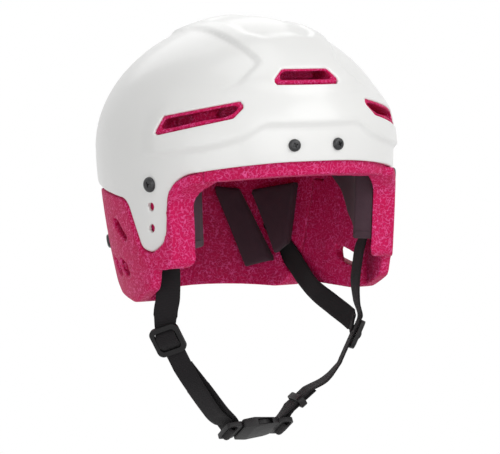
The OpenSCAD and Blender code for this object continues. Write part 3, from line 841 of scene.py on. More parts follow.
class ShaderTree:
    """The node tree of a new material or world."""

    def __init__(self, name: str, room: bool = False) -> None:
        """Starts an empty tree.

        Args:
            name: the name of the material or the world.
            room: makes a world in place of a material.
        """
        self.owner = bpy.data.worlds.new(name) if room else bpy.data.materials.new(name)
        self.owner.use_nodes = True
        self.tree = self.owner.node_tree
        self.tree.nodes.clear()

    def node(self, kind: str, settings: dict[str, Any] | None = None,
             sockets: dict[str | int, Any] | None = None) -> bpy.types.Node:
        """Adds a node.

        Args:
            kind: the node's type.
            settings: its own settings, set first; a list of stops fills a colour ramp.
            sockets: values or links of its inputs, by name or number.

        Returns:
            The node.
        """
        made = self.tree.nodes.new(kind)
        for name, value in (settings or {}).items():
            setattr(made, name, value)
        for name, value in (sockets or {}).items():
            if isinstance(value, Socket):
                self.tree.links.new(value.socket, made.inputs[name])
            else:
                made.inputs[name].default_value = value
        return made

    def vector(self, operation: str, a: Any, b: Any) -> Socket:
        """One Vector Math node."""
        made = self.node("ShaderNodeVectorMath", {"operation": operation}, {0: a, 1: b})
        return Socket(self, made.outputs[0])

    def warp(self, place: Socket, grain: float, reach: float) -> Socket:
        """Coordinates pushed about by noise, both sizes in millimetres.

        Args:
            place: the coordinates.
            grain: size of the noise.
            reach: how far they are pushed.

        Returns:
            The pushed coordinates.
        """
        made = self.node("ShaderNodeTexNoise", sockets={"Vector": place, "Scale": 1 / (grain * MM)})
        shift = self.vector("SUBTRACT", Socket(self, made.outputs["Color"]), (0.5, 0.5, 0.5))
        shift = self.vector("MULTIPLY", shift, (reach * MM,) * 3)
        return self.vector("ADD", place, shift)

    def math(self, operation: str, a: Any, b: Any = None) -> Socket:
        """One Math node."""
        sockets = {0: a} if b is None else {0: a, 1: b}
        made = self.node("ShaderNodeMath", {"operation": operation}, sockets)
        return Socket(self, made.outputs[0])

    def place(self) -> Socket:
        """Object coordinates, in metres."""
        return Socket(self, self.node("ShaderNodeTexCoord").outputs["Object"])

    def noise(self, place: Socket, grain: float, detail: float = 2.0, rough: float = 0.5) -> Socket:
        """Noise whose grain is a size in millimetres.

        Args:
            place: the coordinates.
            grain: its size.
            detail: how many finer layers it has.
            rough: how strong those are.

        Returns:
            A value round 0.5.
        """
        made = self.node(
            "ShaderNodeTexNoise",
            {"noise_dimensions": "3D"},
            {"Vector": place, "Scale": 1 / (grain * MM), "Detail": detail, "Roughness": rough},
        )
        return Socket(self, made.outputs["Fac"])

    def cells(self, place: Socket, grain: float, feature: str, output: str) -> Socket:
        """A Voronoi pattern of cells of a size in millimetres.

        Args:
            place: the coordinates.
            grain: its size.
            feature: what is measured.
            output: the output's name.

        Returns:
            The output.
        """
        made = self.node(
            "ShaderNodeTexVoronoi", {"feature": feature}, {"Vector": place, "Scale": 1 / (grain * MM)}
        )
        return Socket(self, made.outputs[output])

    def mix(self, factor: Any, a: Any, b: Any) -> Socket:
        """A mix of two colours."""
        made = self.node("ShaderNodeMix", {"data_type": "RGBA"}, {0: factor, 6: a, 7: b})
        return Socket(self, made.outputs[2])

    def bump(self, height: Socket, depth: float, strength: float = 1.0) -> Socket:
        """A bump of a depth in millimetres."""
        made = self.node(
            "ShaderNodeBump", sockets={"Height": height, "Distance": depth * MM, "Strength": strength}
        )
        return Socket(self, made.outputs["Normal"])

    def surface(self, sockets: dict[str, Any]) -> bpy.types.Material:
        """Closes the tree with a Principled shader.

        Args:
            sockets: values or links of the shader's inputs.

        Returns:
            The material.
        """
        return self.close(self.node("ShaderNodeBsdfPrincipled", sockets=sockets))

    def close(self, shader: bpy.types.Node, kind: str = "ShaderNodeOutputMaterial") -> Any:
        """Ends the tree in its output and gives back the material or world."""
        self.node(kind, sockets={"Surface": Socket(self, shader.outputs[0])})
        return self.owner

    def seen(self) -> Socket:
        """1 for the rays of the camera, of gloss and of glass, to which the background is white."""
        path = self.node("ShaderNodeLightPath")
        names = ("Is Camera Ray", "Is Glossy Ray", "Is Transmission Ray")
        rays = [Socket(self, path.outputs[name]) for name in names]
        return self.math("MAXIMUM", self.math("MAXIMUM", rays[0], rays[1]), rays[2])


def colour(red: float, green: float, blue: float) -> tuple[float, float, float, float]:
    """A colour as a shader takes it."""
    return red, green, blue, 1.0


@dataclass(frozen=True)
class GlossShell:
    """Moulded white shell: deep gloss over a faint ripple."""

    base: tuple = colour(0.83, 0.83, 0.82)
    warm: tuple = colour(0.80, 0.80, 0.785)
    ripple: float = 3.2
    scuff: float = 0.7

    def make(self) -> bpy.types.Material:
        """Builds the finish."""
        tree = ShaderTree("shell_white")
        place = tree.place()
        cloud = tree.noise(place, 45, 2)
        scuffs = tree.noise(place, self.scuff, 3, 0.6).step(0.62, 0.78)
        ripple = tree.noise(place, self.ripple, 1)
        return tree.surface({
            "Base Color": tree.mix(cloud, self.base, self.warm),
            "Roughness": 0.30 + cloud * 0.06 + scuffs * 0.08,
            "Coat Weight": 0.30,
            "Coat Roughness": 0.12,
            "Specular IOR Level": 0.45,
            "Normal": tree.bump(ripple, 0.02, 0.5),
        })


@dataclass(frozen=True)
class BeadFoam:
    """Moulded bead foam: a pebbled skin with short crinkles all over it, painted pale as their highlight,
    and painted shade between the pebbles.
    """

    deep: tuple = colour(0.45, 0.0004, 0.045)
    pink: tuple = colour(0.68, 0.004, 0.130)
    # the crinkles' pale colour, a painted highlight
    crease: tuple = colour(0.97, 0.160, 0.470)
    worm: float = 2.3
    pebble: float = 0.95

    def make(self) -> bpy.types.Material:
        """Builds the finish."""
        tree = ShaderTree("foam_pink")
        place = tree.place()
        bent = tree.warp(place, 2.6, 0.9)
        ridge = abs(tree.noise(bent, self.worm, 1, 0.4) - 0.5)
        worms = 1 - ridge.step(0.018, 0.070)
        pebble = tree.cells(place, self.pebble, "SMOOTH_F1", "Distance")
        grit = tree.noise(place, 0.8, 3, 0.65)
        drift = tree.noise(place, 14, 2)
        creases = worms * (0.45 + tree.noise(place, 5, 2, 0.6).step(0.35, 0.65) * 0.55)
        body = tree.mix(drift * 0.55 + grit * 0.45, self.deep, self.pink)
        # painted shade: the hollows between the pebbles, low in the bump below, are darkened towards the
        # deep colour
        body = tree.mix(pebble.step(0.35, 0.75) * 0.40, body, self.deep)
        # painted highlight: the raised crinkles are painted pale, standing in for the light that they catch
        body = tree.mix(creases * 0.56, body, self.crease)
        height = (1 - pebble) * 0.4 + grit * 0.4 + creases * 0.9
        return tree.surface({
            "Base Color": body,
            "Roughness": 0.62 - creases * 0.12,
            "Specular IOR Level": 0.20,
            "Normal": tree.bump(height, 0.34, 0.9),
        })


@dataclass(frozen=True)
class PadCloth:
    """Brushed charcoal knit over thin foam."""

    dark: tuple = colour(0.036, 0.0185, 0.0265)
    light: tuple = colour(0.090, 0.052, 0.067)
    knit: float = 0.8

    def make(self) -> bpy.types.Material:
        """Builds the finish."""
        tree = ShaderTree("pad_charcoal")
        place = tree.place()
        knit = tree.cells(place, self.knit, "F1", "Distance")
        fuzz = tree.noise(place, 0.5, 3, 0.7)
        tone = tree.noise(place, 9, 2)
        return tree.surface({
            "Base Color": tree.mix(fuzz * 0.6 + tone * 0.4, self.dark, self.light),
            "Roughness": 0.86 - fuzz * 0.08,
            "Sheen Weight": 0.10,
            "Sheen Roughness": 0.5,
            "Specular IOR Level": 0.15,
            "Normal": tree.bump((1 - knit) * 0.6 + fuzz * 0.5, 0.16, 0.8),
        })


@dataclass(frozen=True)
class WebbingWeave:
    """Woven black tape: ribs across it, yarns along it and a firmer selvedge."""

    dark: tuple = colour(0.0050, 0.0046, 0.0050)
    light: tuple = colour(0.0150, 0.0125, 0.0145)
    rib: float = 1.1
    yarn: float = 0.8
    half_width: float = 8.0

    def make(self) -> bpy.types.Material:
        """Builds the finish; the tape's own map holds the way across and along it in millimetres."""
        tree = ShaderTree("webbing_black")
        uv = tree.node("ShaderNodeUVMap", {"uv_map": "tape"})
        parts = tree.node("ShaderNodeSeparateXYZ", sockets={0: Socket(tree, uv.outputs[0])})
        across, along = Socket(tree, parts.outputs[0]), Socket(tree, parts.outputs[1])
        full = 2 * math.pi
        column = (across * (full / self.yarn)).sine()
        ribs = (along * (full / self.rib) + column * 1.1).sine()
        edge = abs(across).step(self.half_width - 1.5, self.half_width - 1.0)
        hem = (along * (full / (self.rib * 0.7))).sine()
        height = (ribs * 0.5 + 0.5) * (1 - edge) + (hem * 0.35 + 0.35) * edge + column * 0.12
        fuzz = tree.noise(tree.place(), 0.35, 2, 0.7)
        # painted highlight and shade: the colour follows the weave's height, crests lighter and hollows
        # darker, mixed with random fuzz
        tone = height * 0.55 + fuzz * 0.45
        return tree.surface({
            "Base Color": tree.mix(tone, self.dark, self.light),
            "Roughness": 0.80 - height * 0.08,
            "Sheen Weight": 0.08,
            "Sheen Roughness": 0.5,
            "Specular IOR Level": 0.16,
            "Normal": tree.bump(height + fuzz * 0.3, 0.12, 0.7),
        })


@dataclass(frozen=True)
class MouldedPlastic:
    """Satin black nylon of the sliders and the buckle."""

    base: tuple = colour(0.0070, 0.0064, 0.0070)
    pale: tuple = colour(0.0120, 0.0110, 0.0120)

    def make(self) -> bpy.types.Material:
        """Builds the finish."""
        tree = ShaderTree("plastic_black")
        place = tree.place()
        grain = tree.noise(place, 0.28, 2, 0.6)
        cloud = tree.noise(place, 7, 2)
        return tree.surface({
            "Base Color": tree.mix(cloud, self.base, self.pale),
            "Roughness": 0.42 + cloud * 0.08 + grain * 0.06,
            "Specular IOR Level": 0.24,
            "Normal": tree.bump(grain, 0.03, 0.7),
        })


@dataclass(frozen=True)
class BlackSteel:
    """Black screws and nuts, with the finish worn a little on the heads."""

    base: tuple = colour(0.012, 0.012, 0.014)
    worn: tuple = colour(0.060, 0.060, 0.065)

    def make(self) -> bpy.types.Material:
        """Builds the finish."""
        tree = ShaderTree("hardware_black")
        place = tree.place()
        wear = tree.noise(place, 1.6, 3, 0.6).step(0.5, 0.75)
        brushed = tree.noise(place, 0.3, 2)
        return tree.surface({
            "Base Color": tree.mix(wear * 0.6, self.base, self.worn),
            "Metallic": 0.35,
            "Roughness": 0.30 + brushed * 0.12,
            "Coat Weight": 0.3,
            "Coat Roughness": 0.2,
            "Normal": tree.bump(brushed, 0.02, 0.5),
        })


@dataclass
class Finishes:
    """The helmet's finishes, each made once."""

    shell: bpy.types.Material
    foam: bpy.types.Material
    pad: bpy.types.Material
    webbing: bpy.types.Material
    plastic: bpy.types.Material
    steel: bpy.types.Material

    @classmethod
    def make(cls) -> Finishes:
        """Builds them all."""
        made = (GlossShell, BeadFoam, PadCloth, WebbingWeave, MouldedPlastic, BlackSteel)
        return cls(*[finish().make() for finish in made])


def hand_over(piece: bpy.types.Object, finish: bpy.types.Material, node: str,
              body: str | None = None) -> None:
    """Dresses a finished piece and lets it stand for its node.

    Args:
        piece: the finished piece, in metres.
        finish: its material.
        node: the node that it stands for.
        body: the body that it rides on, or None to leave it unattached.
    """
    piece.data.materials.clear()
    piece.data.materials.append(finish)
    if body:
        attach(piece, body)
    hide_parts(node)
    log.info("%s: %d faces", piece.name, len(piece.data.polygons))


@dataclass
class Layout:
    """Where the shell's edges, vents and screws are.

    A station is a turn from the front in degrees and a height.
    """

    form: HeadForm = field(default_factory=HeadForm)
    shell_wall: float = 2.8
    foam_gap: float = 0.4
    liner_depth: float = 20.0
    brow: float = -1.0
    tab_front: float = -62.0
    tab_width: float = 26.0
    tab_foot: float = -63.0
    cheek_front: float = -65.0
    cheek_foot: float = -72.5
    lobe_rear: float = 38.0
    lobe_foot: float = -100.0
    nape_foot: float = -107.0
    liner_rear: float = 27.0
    seam_y: float = -79.0
    seam: float = 0.4
    strip_height: float = 8.5
    shank: float = 4.0
    ear_hole: float = 5.5
    vent_rim: float = 2.2
    lip_wide: float = 2.6
    lip_low: float = 0.8
    front_vent_width: float = 44.0
    front_vent_height: float = 10.0
    front_vent_sill: float = 47.0
    side_vent_length: float = 60.0
    side_vent_turn: float = -45.0
    rear_vent_turn: float = 148.0
    front_screw: Station = (9.0, 9.0)
    ear_screw: Station = (65.0, -18.5)
    ear_holes: tuple[Station, ...] = ((65.0, -33.0), (65.0, -47.0))
    rear_screw: Station = (118.0, -67.0)
    bore_room: float = 0.5
    bore_reach: float = 15.0

    @property
    def foam_out(self) -> float:
        """The foam's outer face, measured from the shell's."""
        return -self.shell_wall - self.foam_gap

    @property
    def bore(self) -> float:
        """Radius of the screws' holes in the shell."""
        return self.shank / 2 + self.bore_room

    @property
    def split(self) -> float:
        """Height of the parting between the crown foam and the pieces below it."""
        return self.brow + 3

    @property
    def main_edge(self) -> Outline:
        """The main shell seen from the side."""
        tab_rear = self.tab_front + self.tab_width
        edge, rear = self.form.side_edge, self.form.main_rear
        return Outline((
            (-FAR, self.brow, 0), (-self.form.front_length, self.brow, 40),
            (self.tab_front, self.brow - 12, 22), (self.tab_front + 3, self.tab_foot + 9, 12),
            (self.tab_front + 15, self.tab_foot - 0.5, 11), (tab_rear, self.tab_foot + 2, 7),
            (tab_rear + 15, edge - 2, 12), (20, edge, 20),
            (rear, edge + 3, 6), (rear - 14, FAR, 0), (-FAR, FAR, 0),
        ))

    @property
    def rear_shell_edge(self) -> Outline:
        """The rear shell seen from the side."""
        edge, rear = self.form.side_edge, self.lobe_rear
        return Outline((
            (self.liner_rear + 4, FAR, 0), (self.liner_rear + 4, edge + 5, 3), (rear + 8, edge + 2, 6),
            (rear + 8, self.tab_foot - 15, 10), (80, self.tab_foot - 24, 20),
            (FAR, self.tab_foot - 28, 0), (FAR, FAR, 0),
        ))

    @property
    def front_vent(self) -> Outline:
        """The vent in the middle of the forehead, seen from the front."""
        half, sill, top = self.front_vent_width / 2, self.front_vent_sill, self.front_vent_height
        return Outline((
            (-half, sill, 1.2), (-half - 1, sill + 3, 2), (-half + 6, sill + top, 3),
            (half - 6, sill + top, 3), (half + 1, sill + 3, 2), (half, sill, 1.2),
        ))

    @property
    def vent_ends(self) -> tuple[float, float]:
        """The ear end and the front end of a side vent."""
        return -self.side_vent_length * 0.43, self.side_vent_length * 0.55

    @property
    def side_vent(self) -> Outline:
        """A side vent, seen square-on from the right front corner."""
        a, b = self.vent_ends
        return Outline((
            (a, 15, 2), (a + 7, 26.5, 3), (b, 36.8, 2), (b + 4, 33.4, 2), (b - 2, 26, 2), (a + 3, 14, 2),
        ))

    @property
    def side_vent_holes(self) -> tuple[Outline, Outline]:
        """The two through holes in the floor of a side vent."""
        a, b = self.vent_ends
        return (
            Outline(((a + 6, 17.5, 1), (a + 12, 24.6, 2), (a + 25, 27, 1), (a + 20, 20.2, 1))),
            Outline(((b - 22, 24.2, 1), (b - 17, 31, 1), (b - 3, 33.6, 1), (b - 7, 26.6, 1))),
        )

    @property
    def rear_vent(self) -> Outline:
        """A vent in the rear shell."""
        return Outline(((-13, 20, 3), (-17, 31, 3), (13, 37, 3), (17, 27, 3)))

    @staticmethod
    def both(outline: Outline, turn: float, grow: float = 0.0) -> list[FaceCut]:
        """A cut and its mirror image."""
        return [FaceCut(outline, turn, grow), FaceCut(outline.mirrored(Side.LEFT), -turn, grow)]

    def bore_depth(self, points: Points, kind: Kind, station: Station, radius: float) -> Depths:
        """Distance inside the two bores at a station, left and right.

        Args:
            points: places in the helmet's frame.
            kind: the surface.
            station: the turn and the height.
            radius: the radius.

        Returns:
            The distance at each point.
        """
        turn, height = station
        best = np.full(len(points), -FAR)
        for side in SIDES:
            centre, axis = self.form.station(kind, side.value * turn, height)
            away = points - centre
            along = away @ axis
            across = np.linalg.norm(away - along[:, None] * axis, axis=1)
            best = np.maximum(best, np.where(np.abs(along) < self.bore_reach, radius - across, -FAR))
        return best

    def main_region(self, points: Points) -> Depths:
        """Distance inside the main shell's sheet."""
        depth = SideCut(self.main_edge).depth(points)
        openings = [FaceCut(self.front_vent, 0.0), *self.both(self.side_vent, self.side_vent_turn)]
        for opening in openings:
            depth = np.minimum(depth, -opening.depth(points))
        holes = [(station, self.bore) for station in (self.front_screw, self.ear_screw)]
        holes += [(station, self.ear_hole / 2) for station in self.ear_holes]
        for station, radius in holes:
            depth = np.minimum(depth, -self.bore_depth(points, Kind.MAIN, station, radius))
        return depth

    def rear_region(self, points: Points) -> Depths:
        """Distance inside the rear shell's sheet."""
        depth = SideCut(self.rear_shell_edge).depth(points)
        for opening in self.both(self.rear_vent, self.rear_vent_turn):
            depth = np.minimum(depth, -opening.depth(points))
        return np.minimum(depth, -self.bore_depth(points, Kind.REAR, self.rear_screw, self.bore))


@dataclass
class HardShell:
    """The two shell mouldings."""

    layout: Layout
    finish: bpy.types.Material
    outer_edge: float = 1.1
    inner_edge: float = 0.5
    rim_lines: tuple[float, ...] = (0.12, 0.45, 1.1)
    main_cells: int = 190
    rear_cells: int = 170
    main_foot: float = 68.0
    rear_foot: float = 96.0
    belt_lines: tuple[float, ...] = (-2.0, -0.8, 0.8, 2.0)
    panel_lines: tuple[float, ...] = (0.0, 1.5, 4.5, 6.0)
    channel_lines: tuple[float, ...] = (-2.0, 1.5, 5.0)
    belt_rear: float = -34.0
    belt_low: float = -8.0
    panel_low: float = 39.0
    channel_low: float = 45.0
    channel_rear: float = 27.0

    def _form(self, blank: Blank, region: Region) -> bpy.types.Object:
        """Thickens a trimmed blank and forms it with rounded edges.

        Args:
            blank: the trimmed blank.
            region: gives the distance inside.

        Returns:
            The moulding, in metres.
        """
        outer, inner = round_over(self.outer_edge), round_over(self.inner_edge)
        wall = self.layout.shell_wall
        blank.thicken()
        piece = blank.form_over(
            (blank.kind, lambda rim: -outer(rim)), (blank.kind, lambda rim: -wall + inner(rim)), region
        )
        Bench.scale_down(piece)
        Bench.shade(piece)
        return piece

    def _belt_line(self, points: Points) -> Depths:
        """Height above the belt's step, and no number where the belt doesn't run."""
        there = (points[:, 1] < self.belt_rear) & (points[:, 2] > self.belt_low)
        return np.where(there, points[:, 2] - self.layout.form.belt_step(points[:, 0]), np.nan)

    def _panel_line(self, points: Points) -> Depths:
        """Distance inside the raised panel, and no number below it."""
        half = self.layout.form.panel_half(points[:, 1], points[:, 2])
        return np.where(points[:, 2] > self.panel_low, half - np.abs(points[:, 0]), np.nan)

    def _channel_line(self, points: Points) -> Depths:
        """Distance outside the crown channel, and no number away from it."""
        there = (points[:, 2] > self.channel_low) & (points[:, 1] < self.channel_rear)
        return np.where(there, np.abs(points[:, 0]) - self.layout.form.channel_half(points[:, 1]), np.nan)

    def _creases(self) -> list[Region]:
        """The lines along which the main shell's relief turns."""
        reliefs = ((self._belt_line, self.belt_lines), (self._panel_line, self.panel_lines),
                   (self._channel_line, self.channel_lines))
        return [lambda points, line=line, offset=offset: line(points) - offset
                for line, offsets in reliefs for offset in offsets]

    def build_main(self) -> None:
        """Makes the main shell."""
        blank = Blank("shell_main", self.layout.form, Kind.MAIN, self.main_cells, self.main_foot)
        blank.trim(self.layout.main_region, self.rim_lines)
        for line in self._creases():
            blank.cut(line)
        piece = self._form(blank, self.layout.main_region)
        hand_over(piece, self.finish, "main_shell", "helmet")

    def build_rear(self) -> None:
        """Makes the rear shell."""
        blank = Blank("shell_rear", self.layout.form, Kind.REAR, self.rear_cells, self.rear_foot)
        blank.trim(self.layout.rear_region, self.rim_lines)
        piece = self._form(blank, self.layout.rear_region)
        hand_over(piece, self.finish, "rear_shell", "rear_section")


def curve_points(stations: Sequence[tuple], step: float) -> tuple[Points, Points]:
    """A smooth curve through stations of a point and the tape's width direction.

    Args:
        stations: pairs of a point and a direction.
        step: the longest stretch between two points of the curve.

    Returns:
        The points and the directions along the curve.
    """
    p = np.array([s[0] for s in stations], float)
    w = np.array([s[1] for s in stations], float)
    count = len(p)

    def slope(i: int) -> np.ndarray:
        """The curve's direction at a station."""
        a, b = p[max(i - 1, 0)], p[min(i + 1, count - 1)]
        return (b - a) / (np.linalg.norm(p[i] - a) + np.linalg.norm(b - p[i]))

    middles, widths = [], []
    for i in range(count - 1):
        length = np.linalg.norm(p[i + 1] - p[i])
        parts = max(1, math.ceil(length / step))
        for j in range(parts):
            u = j / parts
            v = 1 - u
            bend = (slope(i) * v - slope(i + 1) * u) * length * u * v
            middles.append(p[i] * v * v * (1 + 2 * u) + p[i + 1] * u * u * (3 - 2 * u) + bend)
            widths.append(w[i] * v + w[i + 1] * u)
    middles.append(p[-1])
    widths.append(w[-1])
    return np.array(middles), np.array(widths)


@dataclass
class Harness:
    """The webbing, its stations and what rides on it.

    A station is a point and the tape's width direction. The rear points have the outward direction in
    its place, and X as a share of the head form's half width.
    """

    layout: Layout
    finishes: Finishes
    tape_width: float = 16.0
    tape: float = 1.4
    slider_length: float = 22.0
    slider_travel: float = 8.0
    slider_half: float = 10.4
    slider_bar: float = 3.3
    slider_plate: float = 2.8
    slider_corner: float = 4.2
    right_slider_turn: float = 35.0
    under: float = 2.4
    snug: float = 0.86
    loop: tuple[Span, ...] = (
        (-8.6, -2.3), (-6.4, -1.5), (-3.6, 1.0), (0, 2.3), (3.6, 1.0), (6.4, -1.5), (8.6, -2.3),
    )
    slider_left: Place = (69.0, -33.0, -130.0)
    slider_right: Place = (-71.0, -33.0, -124.0)
    slider_fall: Place = (-0.45, 0.0, -0.89)
    slider_room: float = 1.0
    slider_window_grow: float = 0.5
    slider_window_corner: float = 2.6
    slider_bar_half: float = 1.5
    slider_bar_corner: float = 0.5
    slider_bevel: float = 0.85
    anchor_in: float = 3.7
    anchor_plate: float = 1.4
    anchor_room: float = 0.3
    anchor_height: float = -26.0
    ear_wide: Place = (0.36, 0.93, 0.0)
    ear_low: Place = (77.3, -39.0, -50.0)
    upper_left: Route = (
        ((70.5, -36, -68), (0.1, 0.99, 0)), ((69, -34.5, -80), (0.1, 0.99, 0)),
        ((67.8, -34, -93), (0.1, 0.99, 0)), ((69, -34, -107), (0.2, 0.97, 0)),
    )
    upper_right: Route = (
        ((-73.8, -38, -66), (-0.72, 0.69, 0)), ((-72.7, -38, -76), (-0.9, 0.42, -0.05)),
        ((-72, -36, -95), (-0.9, 0.42, -0.05)), ((-73, -34.5, -104), (-0.9, 0.42, -0.05)),
    )
    right_entry: float = -5.0
    chin_left: Route = (((45, -33, -160), (0.25, 0.97, 0)),)
    chin_right: Route = (
        ((-50, -33, -160), (-0.5, 0.8, -0.2)), ((-38, -31.5, -176.5), (-0.3, 0.85, -0.4)),
    )
    chin_right_back: Route = (
        ((-33.5, -31.5, -175), (-0.3, 0.85, -0.4)), ((-46.4, -32, -158.5), (-0.5, 0.8, -0.2)),
    )
    right_tail: Span = (3.5, 1.2)
    buckle_middle: Place = (0.0, -30.0, -190.0)
    node_tilt: float = 12.0
    buckle_tilt: float = 34.0
    plate: float = 3.2
    socket_end: float = 9.0
    socket_length: float = 28.0
    ladder_length: float = 11.0
    slot: float = 2.4
    bar: float = 2.4
    slot_near: float = 1.4
    slot_rise: Span = (4.5, 1.0)
    bar_sink: float = 0.4
    bar_turns: tuple[float, ...] = (180, 216, 252, 288, 324, 360)
    ladder_gap: float = 0.4
    keeper_middle: Place = (25.0, -31.5, -173.0)
    keeper_fall: Place = (-0.79, 0.03, -0.61)
    keeper_wide: Place = (0.0, 1.0, -0.1)
    keeper_room: float = 0.3
    rear_points: Route = (
        ((0.489, 72.4, -62), (0.77, 0.63, 0)), ((0.535, 63.5, -71), (0.81, 0.58, 0)),
        ((0.568, 55.6, -79), (0.86, 0.5, 0)), ((0.586, 45, -86), (0.9, 0.42, -0.05)),
        ((0.59, 30, -95), (0.94, 0.34, -0.1)), ((0.603, 12, -104.5), (0.97, 0.2, 0)),
    )
    rear_entry: Place = (0.5, 8.0, 9.0)
    rear_side_on: Place = (0.97, 0.1, -0.1)
    rear_hold: Span = (5.0, 2.0)
    keeper_length: float = 5.0
    keeper_travel: float = 4.0
    strap_step: float = 1.2
    loop_step: float = 0.6
    tape_cells: int = 14
    tape_thinned: float = 0.42
    tape_shade: float = 60.0
    moulded_shade: float = 35.0

    @property
    def layer(self) -> float:
        """Distance between two layers of tape."""
        return self.tape + 0.6

    @property
    def slider_end(self) -> float:
        """How far below its middle at rest a slider reaches at its lower limit, with room."""
        return self.slider_length / 2 + self.slider_travel + self.slider_room

    def slider_axes(self, side: Side) -> tuple[np.ndarray, np.ndarray, np.ndarray, np.ndarray]:
        """The slider's middle, the way down the strap, across it and out of the helmet.

        Args:
            side: the wearer's left or right.

        Returns:
            The middle and the three directions.
        """
        middle = self.slider_left if side is Side.LEFT else self.slider_right
        down = unit(sided(self.slider_fall, side))
        across = square_to(down, sided(self.ear_wide, side))
        outward = np.cross(down, across) * side.value
        turn = math.radians(self.right_slider_turn if side is Side.RIGHT else 0)
        c, s = math.cos(turn), math.sin(turn)
        return np.array(middle, float), down, across * c + outward * s, outward * c - across * s

    def slider_run(self, side: Side, out: float, ways: Sequence[float]) -> list[tuple]:
        """Stations straight through a slider, the tape drawn in a little by its frame."""
        middle, down, across, outward = self.slider_axes(side)
        return [(middle + down * d + outward * out, across * self.snug) for d in ways]

    def _buckle(self, x: float, z: float) -> tuple:
        """A station in the buckle's own frame."""
        tilt = math.radians(self.buckle_tilt)
        c, s = math.cos(tilt), math.sin(tilt)
        return np.array(self.buckle_middle) + (x, z * s, z * c), (0.0, c, -s)

    def _bar_turn(self, first: float, last: float) -> list[tuple]:
        """Down through one slot, round under the bar and up through the other.

        Args:
            first: the slot that it goes down.
            last: the slot that it comes up.

        Returns:
            The stations.
        """
        radius, middle = (last - first) / 2, (first + last) / 2
        low = -self.plate / 2 + self.bar_sink
        ways = [self._buckle(first, z) for z in self.slot_rise]
        for angle in np.radians(self.bar_turns):
            ways.append(self._buckle(middle + radius * math.cos(angle), low + radius * math.sin(angle)))
        return ways + [self._buckle(last, z) for z in reversed(self.slot_rise)]

    def _slots(self, start: float) -> tuple[float, float]:
        """The middles of a ladder's two slots."""
        near = start + self.slot_near + self.slot / 2
        return near, near + self.slot + self.bar

    def keeper_axes(self) -> tuple[np.ndarray, np.ndarray, np.ndarray]:
        """The way down the strap at the keeper, across it and out."""
        down = unit(self.keeper_fall)
        across = square_to(down, self.keeper_wide)
        return down, across, np.cross(down, across)

    def _keeper(self, way: float, out: float) -> tuple:
        """A station at the keeper."""
        down, across, outward = self.keeper_axes()
        return np.array(self.keeper_middle) + down * way + outward * out, across

    def front_route(self, side: Side) -> list[tuple]:
        """From the ear anchor down through the slider and on to the buckle.

        Args:
            side: the wearer's left or right.

        Returns:
            The stations.
        """
        left = side is Side.LEFT
        wide = sided(self.ear_wide, side)
        turn = side.value * self.layout.ear_screw[0]
        point, normal = self.layout.form.station(Kind.MAIN, turn, self.anchor_height)
        top = point - normal * (self.anchor_in + self.anchor_plate + self.tape / 2 + self.anchor_room)
        first = -self.slider_length / 2 - self.slider_room if left else self.right_entry
        run = (first, 0, self.slider_end, self.slider_end + 3)
        upper = [(top, wide), (sided(self.ear_low, side), wide)]
        upper += self.upper_left if left else self.upper_right
        return upper + self.slider_run(side, -self.under, run) + self._chin_route(side)

    def _chin_route(self, side: Side) -> list[tuple]:
        """Below the slider: round the buckle's bar and back.

        Args:
            side: the wearer's left or right.

        Returns:
            The stations.
        """
        if side is Side.RIGHT:
            start = self.socket_end - self.socket_length - self.ladder_gap - self.ladder_length
            tail = [self.slider_end + way for way in self.right_tail]
            back = self.slider_run(side, -self.under - self.layer, tail)
            return [*self.chin_right, *self._bar_turn(*self._slots(start)), *self.chin_right_back, *back]
        half, run = self.layer / 2, self.keeper_length / 2 + self.keeper_travel + self.keeper_room
        down = [self._keeper(way, -half) for way in (-run - 3.5, -run, 0, run, run + 2)]
        back = [self._keeper(way, half) for way in (run + 2, run, 0, -run, -run - 6)]
        return [*self.chin_left, *down, *self._bar_turn(*self._slots(self.socket_end)), *back]

    def rear_route(self, side: Side) -> list[tuple]:
        """From the slot in the rear foam straight forward to the slider, where it is held.

        Args:
            side: the wearer's left or right.

        Returns:
            The stations.
        """
        s = side.value
        middle, down, _, outward = self.slider_axes(side)
        reach = self.layout.form.half_width
        facing = [((s * reach * p[0], p[1], p[2]), (s * n[0], n[1], n[2])) for p, n in self.rear_points]
        last = np.array(facing[-1][0])
        entry = middle + sided(self.rear_entry, side)
        held = middle - outward * (self.under + self.layer)
        side_on = sided(self.rear_side_on, side)
        before, past = self.rear_hold
        facing += [((last + entry) / 2, side_on), (entry, side_on), (held - down * before, outward)]
        points = [point for point, _ in facing] + [held + down * past]
        return [(point, unit(np.cross(normal, np.subtract(points[i + 1], point))) * s)
                for i, (point, normal) in enumerate(facing)]

